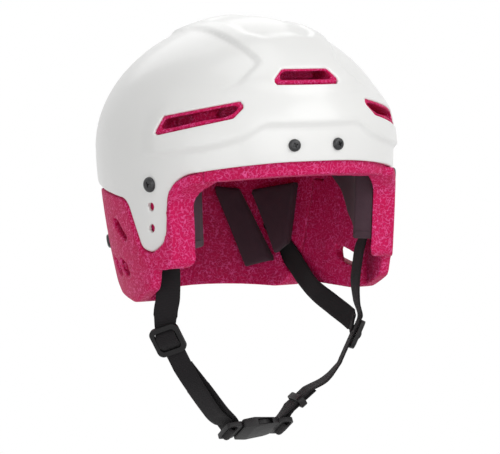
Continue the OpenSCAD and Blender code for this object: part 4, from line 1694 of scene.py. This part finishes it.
    def ribbon(self, name: str, route: Sequence[tuple], width: float, thick: float,
               step: float, cells: int) -> bpy.types.Object:
        """A tape along a route, with its own map in millimetres.

        Args:
            name: the piece's name.
            route: the stations.
            width: the tape's width.
            thick: its thickness.
            step: length of its faces.
            cells: faces across it.

        Returns:
            The closed tape, in millimetres.
        """
        middles, widths = curve_points(route, step)
        rows = len(middles)
        ahead = np.diff(middles, axis=0)
        ahead /= np.linalg.norm(ahead, axis=1, keepdims=True)
        along = np.concatenate([ahead[:1], ahead[:-1] + ahead[1:], ahead[-1:]])
        along /= np.linalg.norm(along, axis=1, keepdims=True)
        share = np.linalg.norm(widths, axis=1)[:, None]
        across = widths - along * (widths * along).sum(1, keepdims=True)
        across /= np.linalg.norm(across, axis=1, keepdims=True)
        facing = np.cross(along, across)
        share[share > 0.95] = 1
        run = np.concatenate([[0], np.cumsum(np.linalg.norm(np.diff(middles, axis=0), axis=1))])
        Bench.clear()
        bpy.ops.mesh.primitive_grid_add(x_subdivisions=cells, y_subdivisions=rows - 1, size=2)
        piece = bpy.context.object
        piece.name = name
        bpy.ops.object.mode_set(mode="EDIT")
        bpy.ops.mesh.select_all(action="SELECT")
        bpy.ops.mesh.extrude_region_move(TRANSFORM_OT_translate={"value": (0, 0, -1)})
        bpy.ops.object.mode_set(mode="OBJECT")
        flat = Bench.corners(piece)
        row = np.rint((flat[:, 1] + 1) / 2 * (rows - 1)).astype(int)
        spread = flat[:, 0]
        thin = thick / 2 * (1 - self.tape_thinned * np.abs(spread) ** 10)
        level = np.where(flat[:, 2] > -0.5, thin, -thin)[:, None]
        across = across * share
        made = middles[row] + across[row] * (spread * width / 2)[:, None] + facing[row] * level
        Bench.put(piece, made)
        self._map_tape(piece, spread * width / 2, run[row])
        Bench.face_out(piece)
        return piece

    @staticmethod
    def _map_tape(piece: bpy.types.Object, across: np.ndarray, run: np.ndarray) -> None:
        """Writes the way across and along the tape as its map.

        Args:
            piece: the piece.
            across: each vertex's way across.
            run: its way along.
        """
        mesh = piece.data
        while mesh.uv_layers:
            mesh.uv_layers.remove(mesh.uv_layers[0])
        layer = mesh.uv_layers.new(name="tape")
        corner = np.empty(len(mesh.loops), int)
        mesh.loops.foreach_get("vertex_index", corner)
        layer.data.foreach_set("uv", np.column_stack([across[corner], run[corner]]).ravel())

    def _tape(self, name: str, route: Sequence[tuple], step: float) -> bpy.types.Object:
        """A length of webbing, in metres."""
        piece = self.ribbon(name, route, self.tape_width, self.tape, step, self.tape_cells)
        Bench.scale_down(piece)
        Bench.shade(piece, self.tape_shade)
        return piece

    def build_straps(self) -> None:
        """Makes the four lengths of webbing."""
        for side in SIDES:
            front = self._tape(f"webbing_front_{side.word}", self.front_route(side), self.strap_step)
            hand_over(front, self.finishes.webbing, f"front_strap_{side.word}", "helmet")
            rear = self._tape(f"webbing_rear_{side.word}", self.rear_route(side), self.strap_step)
            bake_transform(rear)
            hand_over(rear, self.finishes.webbing, f"rear_strap_{side.word}")

    @staticmethod
    def _plate(wide: float, high: float, radius: float, deep: float) -> bpy.types.Object:
        """A round-cornered plate of half sizes wide, high and deep."""
        ends = ((-wide, -high), (wide, -high), (wide, high), (-wide, high))
        corners = tuple((x, y, radius) for x, y in ends)
        return Bench.prism(FaceCut(Outline(corners), 0, low=-deep, high=deep))

    def build_slider(self, side: Side) -> None:
        """Makes a slider's thin round-cornered frame with its bar, and the tape that loops over it."""
        half, inner = self.slider_half, self.slider_half - self.slider_bar
        thick, thin = self.slider_plate / 2, self.slider_plate / 3
        piece = self._plate(half, half, self.slider_corner, thick)
        window = self._plate(inner + self.slider_window_grow, inner, self.slider_window_corner, thick + 1)
        Bench.combine(piece, window, "DIFFERENCE")
        bar = self._plate(inner + 1, self.slider_bar_half, self.slider_bar_corner, thin)
        Bench.combine(piece, bar, "UNION")
        Bench.modify(piece, "BEVEL", width=self.slider_bevel, segments=4, limit_method="ANGLE",
                     angle_limit=math.radians(40), use_clamp_overlap=True)
        middle, down, across, outward = self.slider_axes(side)
        flat = Bench.corners(piece)
        Bench.put(piece, middle + flat[:, :1] * across - flat[:, 2:] * down - flat[:, 1:2] * outward)
        Bench.face_out(piece)
        piece.name = f"moulded_strap_slider_{side.word}"
        Bench.scale_down(piece)
        Bench.shade(piece, self.moulded_shade)
        hand_over(piece, self.finishes.plastic, f"strap_slider_{side.word}",
                  f"slider_{side.word}")
        stations = [(middle + down * way + outward * out, across * self.snug) for way, out in self.loop]
        fold = self._tape(f"webbing_loop_{side.word}", stations, self.loop_step)
        fold.data.materials.append(self.finishes.webbing)
        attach(fold, f"slider_{side.word}")

    def build_fittings(self, nodes: dict[str, bpy.types.Object]) -> None:
        """Makes the sliders, and the keeper and the buckle from their nodes, with moulded edges."""
        for side in SIDES:
            self.build_slider(side)
        fittings = {
            "strap_keeper": ("keeper", 0.7), "buckle_socket": ("helmet", 0.5),
            "buckle_plug": ("helmet", 0.5), "buckle_prong_front": ("prong_front", 0.4),
            "buckle_prong_rear": ("prong_rear", 0.4),
        }
        middle = Vector(self.buckle_middle) * MM
        roll = Matrix.Rotation(math.radians(self.node_tilt - self.buckle_tilt), 4, "X")
        for node, (body, edge) in fittings.items():
            piece = self._moulded(nodes[node], f"moulded_{node}", edge)
            if node.startswith("buckle"):
                piece.data.transform(Matrix.Translation(middle) @ roll @ Matrix.Translation(-middle))
            hand_over(piece, self.finishes.plastic, node, body)

    def _moulded(self, node: bpy.types.Object, name: str, edge: float) -> bpy.types.Object:
        """A copy of a node with its doubles merged and its edges eased.

        Args:
            node: the node.
            name: the piece's name.
            edge: width of its bevels.

        Returns:
            The copy, in metres.
        """
        piece = bpy.data.objects.new(name, node.data.copy())
        bpy.context.scene.collection.objects.link(piece)
        piece.data.materials.clear()
        Bench.hold(piece)
        bpy.ops.object.mode_set(mode="EDIT")
        bpy.ops.mesh.select_all(action="SELECT")
        bpy.ops.mesh.remove_doubles(threshold=0.00002)
        bpy.ops.mesh.dissolve_limited(angle_limit=math.radians(2))
        bpy.ops.object.mode_set(mode="OBJECT")
        Bench.modify(piece, "BEVEL", width=edge * MM, segments=3, limit_method="ANGLE",
                     angle_limit=math.radians(self.moulded_shade), use_clamp_overlap=True)
        Bench.shade(piece, self.moulded_shade)
        return piece


@dataclass
class FoamLiner:
    """The moulded bead foam pieces."""

    layout: Layout
    harness: Harness
    finish: bpy.types.Material
    cells: int = 110
    voxel: float = 1.5
    ease_rounds: int = 5
    nut_radius: float = 6.3
    nut_deep: float = 15.8
    anchor_radius: float = 9.6
    anchor_deep: float = 5.4
    crown_foot: float = 6.0
    brow_foot: float = 32.0
    side_foot: float = 106.0
    rear_foot: float = 113.0
    brow_thinner: float = 4.0
    rim_in: float = 0.3
    lip_root: float = 4.0
    vent_floor: float = 0.62
    vent_room: float = 20.0
    vent_foot: float = 2.0
    shell_grow: float = 1.0
    shell_room: float = 14.0
    shell_foot: float = 69.0
    recess_deep: float = 9.0
    recess_foot: float = 96.0
    upper_recess: Outline = Outline(((-19, -57, 4), (-12, -59, 3), (6, -50, 5), (7, -45, 4), (-3, -46, 5)))
    lower_recess: Outline = Outline(((-15, -82, 2), (-7, -83, 3), (4, -77, 3), (3, -71, 3), (-13, -75, 3)))
    channel_wall: float = 80.5
    channel_front: float = -46.5
    channel_rear: float = -25.0
    channel_side: float = -62.0
    channel_tops: Span = (-60.0, -62.0)
    channel_round: float = 4.0
    cheek_inner: float = 63.0
    corner_in: float = 30.0
    corner_out: float = 18.0
    corner_high: float = 16.0
    corner_low: float = 8.0
    corner_round: float = 11.0
    corner_deep: float = 17.0
    window: Outline = Outline(((68.8, -72.3, 0.5), (80.5, -77.3, 0.5), (78.5, -85.8, 0.5), (70, -83.4, 0.5)))
    window_turn: float = 155.9
    window_span: Span = (4.0, 84.0)
    front_slot_room: Span = (1.6, 1.8)
    rear_slot_room: Span = (1.8, 3.2)
    slot_step: float = 4.0
    slot_cells: int = 4

    def _skin(self, outer: tuple[Kind, float], inner: tuple[Kind, float], foot: float) -> bpy.types.Object:
        """A closed thick skin between two surfaces.

        Args:
            outer: the outer surface and its offset.
            inner: the same inside.
            foot: depth below the brow line.

        Returns:
            The skin, in millimetres.
        """
        blank = Blank("skin", self.layout.form, outer[0], self.cells, foot)
        blank.thicken()
        return blank.form_over((outer[0], lambda rim: rim * 0 + outer[1]),
                               (inner[0], lambda rim: rim * 0 + inner[1]))

    def _finish(self, piece: bpy.types.Object, name: str, node: str, body: str) -> None:
        """Softens a cut block as a moulding and hands it over.

        Args:
            piece: the block, in millimetres.
            name: the piece's name.
            node: the node that it stands for.
            body: the body that it rides on.
        """
        Bench.hold(piece)
        piece.data.remesh_voxel_size = self.voxel
        bpy.ops.object.voxel_remesh()
        Bench.modify(piece, "SMOOTH", factor=0.5, iterations=self.ease_rounds)
        piece.name = name
        Bench.scale_down(piece)
        Bench.shade(piece, 180)
        hand_over(piece, self.finish, node, body)

    @staticmethod
    def _take(piece: bpy.types.Object, others: Iterable[bpy.types.Object]) -> None:
        """Cuts several solids out of a block."""
        for other in others:
            Bench.combine(piece, other, "DIFFERENCE")

    def _bores(self, kind: Kind, station: Station, radius: float, deep: float,
               sides: Sequence[Side] = SIDES) -> list[bpy.types.Object]:
        """Round pockets at a station.

        Args:
            kind: the surface.
            station: the turn and the height.
            radius: the radius.
            deep: depth below the surface.
            sides: the sides to make.

        Returns:
            The solids to cut out.
        """
        turn, height = station
        made = []
        for side in sides:
            point, axis = self.layout.form.station(kind, side.value * turn, height)
            made.append(Bench.cylinder(point, axis, -deep, 6, radius))
        return made

    def _slot(self, route: Sequence[tuple], room: Span) -> bpy.types.Object:
        """The slot that a tape passes through, with room across its width and its thickness."""
        width, thick = self.harness.tape_width + room[0], self.harness.tape + room[1]
        return self.harness.ribbon("slot", route, width, thick, self.slot_step, self.slot_cells)

    def _shell_space(self) -> bpy.types.Object:
        """The space that the main shell fills, with room outside it."""
        at = self.layout
        space = self._skin((Kind.MAIN, self.shell_room), (Kind.MAIN, at.foam_out), self.shell_foot)
        Bench.combine(space, Bench.prism(SideCut(at.main_edge, self.shell_grow)), "INTERSECT")
        return space

    def build_crown(self) -> None:
        """The crown and forehead piece, with its vents."""
        at = self.layout
        piece = self._skin((Kind.MAIN, at.foam_out), (Kind.BODY, -at.liner_depth), self.crown_foot)
        low = at.split + at.seam / 2
        block = Outline(((-FAR, low, 0), (at.liner_rear, low, 0), (at.liner_rear, FAR, 0), (-FAR, FAR, 0)))
        Bench.combine(piece, Bench.prism(SideCut(block)), "INTERSECT")
        rims = [FaceCut(at.front_vent, 0, -self.rim_in),
                *at.both(at.side_vent, at.side_vent_turn, -self.rim_in)]
        for rim in rims:
            root = at.foam_out - self.lip_root
            lip = self._skin((Kind.MAIN, -at.lip_low), (Kind.MAIN, root), self.vent_foot)
            Bench.combine(lip, Bench.prism(rim), "INTERSECT")
            Bench.combine(piece, lip, "UNION")
        cuts: list[Cut] = [FaceCut(at.front_vent, 0, -at.lip_wide + self.rim_in)]
        for hole in at.side_vent_holes:
            cuts += at.both(hole, at.side_vent_turn)
        self._take(piece, [Bench.prism(cut) for cut in cuts])
        for pocket in at.both(at.side_vent, at.side_vent_turn, -at.lip_wide):
            floor = -at.liner_depth * self.vent_floor
            space = self._skin((Kind.BODY, self.vent_room), (Kind.BODY, floor), self.vent_foot)
            Bench.combine(space, Bench.prism(pocket), "INTERSECT")
            self._take(piece, [space])
        self._take(piece, self._bores(Kind.MAIN, at.front_screw, self.nut_radius, self.nut_deep))
        self._finish(piece, "foam_crown", "crown_liner", "helmet")

    def build_brow(self) -> None:
        """The strip under the shell's front edge."""
        at = self.layout
        inner = -at.liner_depth + self.brow_thinner
        piece = self._skin((Kind.BODY, at.foam_out), (Kind.BODY, inner), self.brow_foot)
        top, foot = at.split - at.seam / 2, at.brow - at.strip_height
        end = at.seam_y - at.seam / 2
        strip = Outline(((-FAR, top, 0), (end, top, 0), (end, foot - 6, 0),
                         (-at.form.front_length, foot, 30), (-FAR, foot, 0)))
        Bench.combine(piece, Bench.prism(SideCut(strip)), "INTERSECT")
        self._finish(piece, "foam_brow", "brow_strip", "helmet")

    @property
    def _lobe(self) -> Outline:
        """A side piece seen from the side."""
        at = self.layout
        top, front = at.split - at.seam / 2, at.seam_y + at.seam / 2
        edge = at.form.side_edge
        return Outline((
            (front, top, 0), (front, at.brow - 14, 4), (at.cheek_front, at.brow - 25, 14),
            (at.cheek_front, at.cheek_foot, 7), (-50, at.cheek_foot - 1.5, 4), (-45.5, -87.5, 8),
            (-20, at.lobe_foot, 26), (at.lobe_rear - 16, at.lobe_foot, 14),
            (at.lobe_rear, at.lobe_foot + 7, 5), (at.lobe_rear, edge, 0), (at.liner_rear, edge, 0),
            (at.liner_rear, top, 0),
        ))

    @property
    def _channel(self) -> Outline:
        """The strap's channel inside a side piece, seen from the side."""
        (ahead, behind), foot, rounding = self.channel_tops, self.layout.cheek_foot - 1, self.channel_round
        return Outline((
            (self.channel_front, ahead, rounding), (self.channel_rear, behind, rounding),
            (self.channel_rear, -FAR, 0), (self.channel_side, -FAR, 0),
            (self.channel_side, foot, 0), (self.channel_front, foot, 0),
        ))

    @property
    def _corner(self) -> Outline:
        """What is cut away inside the cheek's lower front corner, seen from the front."""
        foot, inner = self.layout.cheek_foot, -self.cheek_inner
        low, high = foot - self.corner_low, foot + self.corner_high
        return Outline((
            (inner + self.corner_in, high, 0), (inner + self.corner_in, low, 0),
            (inner - self.corner_out, low, 0), (inner - self.corner_out, foot, 0),
            (inner, foot, self.corner_round), (inner, high, 0),
        ))

    def build_side(self, side: Side) -> None:
        """One side piece, with its recesses, strap slot and channel, window and nut pocket."""
        at = self.layout
        low, high = side.half
        piece = self._skin((Kind.FOAM, 0), (Kind.CHEEK, -at.liner_depth), self.side_foot)
        Bench.combine(piece, Bench.prism(SideCut(self._lobe, low=low, high=high)), "INTERSECT")
        recess = self._skin((Kind.BODY, self.shell_room), (Kind.BODY, -self.recess_deep), self.recess_foot)
        Bench.combine(recess, Bench.prism(SideCut(self.upper_recess)), "INTERSECT")
        slot = self._slot(self.harness.front_route(side)[:4], self.front_slot_room)
        wall = side.value * self.channel_wall
        channel = SideCut(self._channel, low=min(wall, 0), high=max(wall, 0))
        corner = FaceCut(self._corner.mirrored(side), 0, low=-at.cheek_front - self.corner_deep)
        near, far = self.window_span
        through = FaceCut(self.window.mirrored(side), side.value * self.window_turn, low=near, high=far)
        self._take(piece, [self._shell_space(), recess, Bench.prism(SideCut(self.lower_recess)), slot,
                           Bench.prism(channel), Bench.prism(corner), Bench.prism(through)])
        for radius, deep in ((self.anchor_radius, self.anchor_deep), (self.nut_radius, self.nut_deep)):
            self._take(piece, self._bores(Kind.MAIN, at.ear_screw, radius, deep, (side,)))
        self._finish(piece, f"foam_side_{side.word}", f"side_liner_{side.word}", "helmet")

    def build_rear(self) -> None:
        """The piece round the back of the head."""
        at = self.layout
        piece = self._skin((Kind.REAR, at.foam_out), (Kind.BODY, -at.liner_depth), self.rear_foot)
        front, low = at.liner_rear + at.seam, at.form.side_edge + at.seam
        lobe = at.lobe_rear + at.seam
        block = Outline(((front, FAR, 0), (front, low, 0), (lobe, low, 0), (lobe, at.lobe_foot + 12, 8),
                         (at.lobe_rear + 12, at.nape_foot, 10), (FAR, at.nape_foot, 0), (FAR, FAR, 0)))
        Bench.combine(piece, Bench.prism(SideCut(block)), "INTERSECT")
        vents = [Bench.prism(cut) for cut in at.both(at.rear_vent, at.rear_vent_turn, -at.vent_rim)]
        slots = [self._slot(self.harness.rear_route(side)[:5], self.rear_slot_room) for side in SIDES]
        self._take(piece, vents + slots)
        self._take(piece, self._bores(Kind.REAR, at.rear_screw, self.nut_radius, self.nut_deep))
        self._finish(piece, "foam_rear", "rear_liner", "rear_section")

    def build(self) -> None:
        """Makes every foam piece."""
        self.build_crown()
        self.build_brow()
        for side in SIDES:
            self.build_side(side)
        self.build_rear()


@dataclass
class ComfortPads:
    """The cloth-faced pads inside the liner."""

    layout: Layout
    finishes: Finishes
    thickness: float = 6.0
    temple_thickness: float = 5.0
    temple_front: float = -71.0
    gap: float = 0.45
    edge: float = 1.9
    crown: float = 0.8
    crown_reach: float = 5.0
    cells: int = 150
    foot: float = 112.0
    back_edge: float = 0.4
    rim_lines: Span = (0.2, 0.7)
    brow_half: float = 38.0
    brow_top: float = 30.0
    crown_low: float = 40.0
    nape_turn: float = 157.0
    rear_turn: float = 134.0
    nape_corners: tuple[Place, ...] = ((25, -36, 2), (-1.5, -38, 2), (-34, -88, 2), (-8, -94, 2))
    rear_corners: tuple[Place, ...] = ((31, -38.6, 2), (-15.4, -31, 2), (-11.6, -74.5, 2), (1.5, -83.5, 2))
    rear_room: float = 2.0

    @staticmethod
    def _sided(corners: tuple[Place, ...], side: Side) -> Outline:
        """An outline drawn for the wearer's left, brought to a side."""
        return Outline(tuple((side.value * x, y, radius) for x, y, radius in corners))

    def _regions(self) -> dict[str, tuple[str, Region]]:
        """Each pad's body and its region of the liner's inner face."""
        half, low, top = self.brow_half, self.layout.split + 2, self.brow_top
        brow = FaceCut(Outline(((-half, low, 6), (-half, top, 6), (half, top, 6), (half, low, 6))), 0)
        crown = Outline(((-14, -48, 12), (14, -48, 12), (44, -10, 12), (30, 20, 12),
                         (-30, 20, 12), (-44, -10, 12)))
        front = self.temple_front
        temple = Outline(((front, -3, 3), (21, -3, 4), (21, -21, 4), (-5, -33, 20), (-24, -48, 20),
                          (front + 13, -60, 2), (front, -60, 2)))
        found: dict[str, tuple[str, Region]] = {
            "brow_pad": ("helmet", brow.depth),
            "crown_pad": ("helmet", lambda points: np.where(
                points[:, 2] > self.crown_low, crown.depth(points[:, 0], points[:, 1]), -FAR)),
        }
        for side in SIDES:
            low, high = side.half
            nape = FaceCut(self._sided(self.nape_corners, side), side.value * self.nape_turn)
            rear = FaceCut(self._sided(self.rear_corners, side), side.value * self.rear_turn)
            found[f"temple_pad_{side.word}"] = ("helmet", SideCut(temple, low=low, high=high).depth)
            found[f"nape_pad_{side.word}"] = ("rear_section", nape.depth)
            found[f"rear_side_pad_{side.word}"] = ("rear_section", lambda points, cut=rear: np.minimum(
                cut.depth(points), points[:, 1] - self.layout.lobe_rear - self.rear_room))
        return found

    def _pad(self, node: str, body: str, region: Region) -> None:
        """One pad: flat on the liner, crowned and rounded towards the head.

        Args:
            node: the node that it stands for.
            body: the body that it rides on.
            region: gives the distance inside.
        """
        out = -self.layout.liner_depth - self.gap
        temple = node.startswith("temple")
        thick = self.temple_thickness if temple else self.thickness
        back = Kind.CHEEK if temple else Kind.BODY
        blank = Blank(node.replace("pad", "cushion"), self.layout.form, Kind.BODY, self.cells, self.foot)
        blank.trim(region, (*self.rim_lines, self.edge, self.crown_reach))
        blank.thicken()
        drop, outer_drop = round_over(self.edge), round_over(self.back_edge)

        def head_face(rim: Depths) -> Depths:
            """The offset of the face towards the head."""
            return out - thick + drop(rim) + self.crown * np.exp(-rim / self.crown_reach)

        piece = blank.form_over((back, lambda rim: out - outer_drop(rim)), (Kind.BODY, head_face), region)
        Bench.scale_down(piece)
        Bench.shade(piece, 50)
        hand_over(piece, self.finishes.pad, node, body)

    def build(self) -> None:
        """Makes every pad."""
        for node, (body, region) in self._regions().items():
            self._pad(node, body, region)


@dataclass
class Screws:
    """Cross-headed screws through the shell."""

    layout: Layout
    finish: bpy.types.Material
    head_height: float = 2.4
    seat: float = 0.25
    shank_length: float = 11.0
    recess_width: float = 1.1
    recess_deep: float = 1.5
    recess_share: float = 0.56
    recess_turn: float = 20.0
    recess_taper: float = 0.45
    dome_share: float = 0.86
    shank_sink: float = 0.4
    front_head: float = 8.0
    ear_head: float = 10.0
    rear_head: float = 10.0

    def _master(self, head: float) -> bpy.types.Object:
        """One screw that stands on its seat at the origin, in millimetres.

        Args:
            head: the head's diameter.

        Returns:
            The screw.
        """
        rise, top = self.head_height - self.seat, self.head_height
        Bench.clear()
        bpy.ops.mesh.primitive_cylinder_add(vertices=48, radius=head / 2, depth=rise,
                                            location=(0, 0, self.seat + rise / 2))
        piece = bpy.context.object
        bpy.ops.object.transform_apply(location=True)
        bpy.ops.object.mode_set(mode="EDIT")
        bpy.ops.mesh.select_all(action="DESELECT")
        bpy.ops.object.mode_set(mode="OBJECT")
        for edge in piece.data.edges:
            edge.select = all(piece.data.vertices[v].co.z > top - 0.01 for v in edge.vertices)
        bpy.ops.object.mode_set(mode="EDIT")
        bpy.ops.mesh.select_mode(type="EDGE")
        bpy.ops.mesh.bevel(offset=rise * self.dome_share, offset_type="OFFSET", segments=6, profile=0.5,
                           affect="EDGES")
        bpy.ops.object.mode_set(mode="OBJECT")
        long = head * self.recess_share
        for turn in (0, 90):
            bpy.ops.mesh.primitive_cube_add(size=1)
            blade = bpy.context.object
            blade.data.transform(Matrix.Diagonal((long, self.recess_width, self.recess_deep * 2, 1)))
            blade.data.transform(Matrix.Rotation(math.radians(turn + self.recess_turn), 4, "Z"))
            blade.data.transform(Matrix.Translation((0, 0, top)))
            narrow = Bench.corners(blade)
            narrow[narrow[:, 2] < top, :2] *= self.recess_taper
            Bench.put(blade, narrow)
            Bench.combine(piece, blade, "DIFFERENCE")
        root = self.seat + self.shank_sink
        shank = Bench.cylinder((0, 0, 0), (0, 0, 1), -self.shank_length, root, self.layout.shank / 2)
        Bench.combine(piece, shank, "UNION")
        return piece

    def build(self) -> None:
        """Makes the three pairs."""
        at = self.layout
        pairs = {"front_screws": (Kind.MAIN, at.front_screw, self.front_head, "helmet"),
                 "ear_screws": (Kind.MAIN, at.ear_screw, self.ear_head, "helmet"),
                 "rear_screws": (Kind.REAR, at.rear_screw, self.rear_head, "rear_section")}
        for node, (kind, (turn, height), head, body) in pairs.items():
            master = self._master(head)
            copies = []
            for side in SIDES:
                point, axis = at.form.station(kind, side.value * turn, height)
                copy = bpy.data.objects.new(f"{node}_{side.word}", master.data.copy())
                bpy.context.scene.collection.objects.link(copy)
                turned = Vector(axis).to_track_quat("Z", "Y").to_matrix().to_4x4()
                copy.data.transform(Matrix.Scale(MM, 4) @ Matrix.Translation(Vector(point)) @ turned)
                copies.append(copy)
            bpy.data.objects.remove(master)
            Bench.clear()
            for copy in copies:
                copy.select_set(True)
            bpy.context.view_layer.objects.active = copies[0]
            bpy.ops.object.join()
            piece = bpy.context.object
            piece.name = node.replace("screws", "cross_screws")
            Bench.shade(piece, 30)
            hand_over(piece, self.finish, node, body)


@dataclass
class Studio:
    """The camera, the pale floor and the soft lamps."""

    lens: float = 135.65
    place: Place = (-525.0, -1179.2, 98.4)
    aim: Place = (2.84, -1.26, -55.5)
    floor_drop: float = 150.0
    floor_size: float = 24.0
    floor_glow: float = 0.9
    floor_tone: float = 0.9
    shadow_core: float = 0.3
    shadow_reach: float = 0.5
    ambient: float = 0.3
    lamp_aim: Place = (0.0, 0.0, -0.05)
    lamps: tuple = (
        ("key_lamp", (0.9, -1.5, 1.2), 1.5, 18.0),
        ("front_lamp", (-0.3, -1.7, 0.6), 1.3, 8.0),
        ("left_lamp", (-1.6, -0.9, -0.1), 1.3, 7.8),
        ("top_lamp", (-0.3, 0.0, 1.9), 1.2, 6.0),
        ("back_lamp", (0.3, 1.6, 1.3), 1.5, 6.0),
    )

    def build_camera(self) -> None:
        """Stands the camera where the photograph was taken from."""
        data = bpy.data.cameras.new("camera")
        data.lens = self.lens
        data.sensor_width = 36.0
        data.clip_end = 50
        camera = bpy.data.objects.new("camera", data)
        bpy.context.scene.collection.objects.link(camera)
        camera.location = Vector(self.place) * MM
        way = (Vector(self.aim) - Vector(self.place)).to_track_quat("-Z", "Y")
        camera.rotation_euler = way.to_euler()
        bpy.context.scene.camera = camera

    def _lamp(self, name: str, place: tuple, size: float, power: float) -> None:
        """A square soft lamp that looks at the helmet."""
        data = bpy.data.lights.new(name, "AREA")
        data.size = size
        data.energy = power
        lamp = bpy.data.objects.new(name, data)
        bpy.context.scene.collection.objects.link(lamp)
        lamp.location = place
        lamp.rotation_euler = (Vector(self.lamp_aim) - Vector(place)).to_track_quat("-Z", "Y").to_euler()

    def build_floor(self, low: float) -> None:
        """Lays the floor below the harness."""
        Bench.clear()
        bpy.ops.mesh.primitive_plane_add(size=self.floor_size, location=(0, 0, low - self.floor_drop * MM))
        bpy.ops.object.transform_apply(location=True)
        floor = bpy.context.object
        floor.name = "floor"
        tree = ShaderTree("floor_white")
        parts = tree.node("ShaderNodeSeparateXYZ", sockets={0: tree.place()})
        x, y = Socket(tree, parts.outputs[0]), Socket(tree, parts.outputs[1])
        away = (x * x + y * y).power(0.5).step(self.shadow_reach * self.shadow_core, self.shadow_reach)
        level = away * (1 - self.floor_glow) + self.floor_glow
        matt = tree.node("ShaderNodeBsdfDiffuse", sockets={"Color": colour(*[self.floor_tone] * 3)})
        glow = tree.node("ShaderNodeEmission", sockets={"Color": colour(1, 1, 1), "Strength": 1.0})
        mixed = tree.node("ShaderNodeMixShader", sockets={
            0: tree.seen() * level, 1: Socket(tree, matt.outputs[0]), 2: Socket(tree, glow.outputs[0])})
        floor.data.materials.append(tree.close(mixed))
        floor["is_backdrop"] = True

    def build_light(self) -> None:
        """Hangs the lamps and lights the room."""
        for name, place, size, power in self.lamps:
            self._lamp(name, place, size, power)
        tree = ShaderTree("room", room=True)
        level = tree.seen() * (1 - self.ambient) + self.ambient
        back = tree.node("ShaderNodeBackground", sockets={"Color": colour(1, 1, 1), "Strength": level})
        bpy.context.scene.world = tree.close(back, "ShaderNodeOutputWorld")
        bpy.context.scene.view_settings.view_transform = "Standard"


def main() -> None:
    """Builds the helmet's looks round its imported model."""
    logging.basicConfig(level=logging.INFO, format="%(name)s: %(message)s")
    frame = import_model()
    low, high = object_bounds()
    studio = Studio()
    studio.build_camera()
    finishes = Finishes.make()
    layout = Layout()
    shell = HardShell(layout, finishes.shell)
    shell.build_main()
    shell.build_rear()
    harness = Harness(layout, finishes)
    harness.build_straps()
    harness.build_fittings(frame["nodes"])
    FoamLiner(layout, harness, finishes.foam).build()
    ComfortPads(layout, finishes).build()
    Screws(layout, finishes.steel).build()
    for node in ("front_t_nuts", "ear_t_nuts", "rear_t_nuts", "ear_anchor_plates"):
        kept = frame["nodes"][node]
        kept.data.materials.clear()
        kept.data.materials.append(finishes.steel)
    studio.build_floor(low.z)
    studio.build_light()


if __name__ == "__main__":
    main()
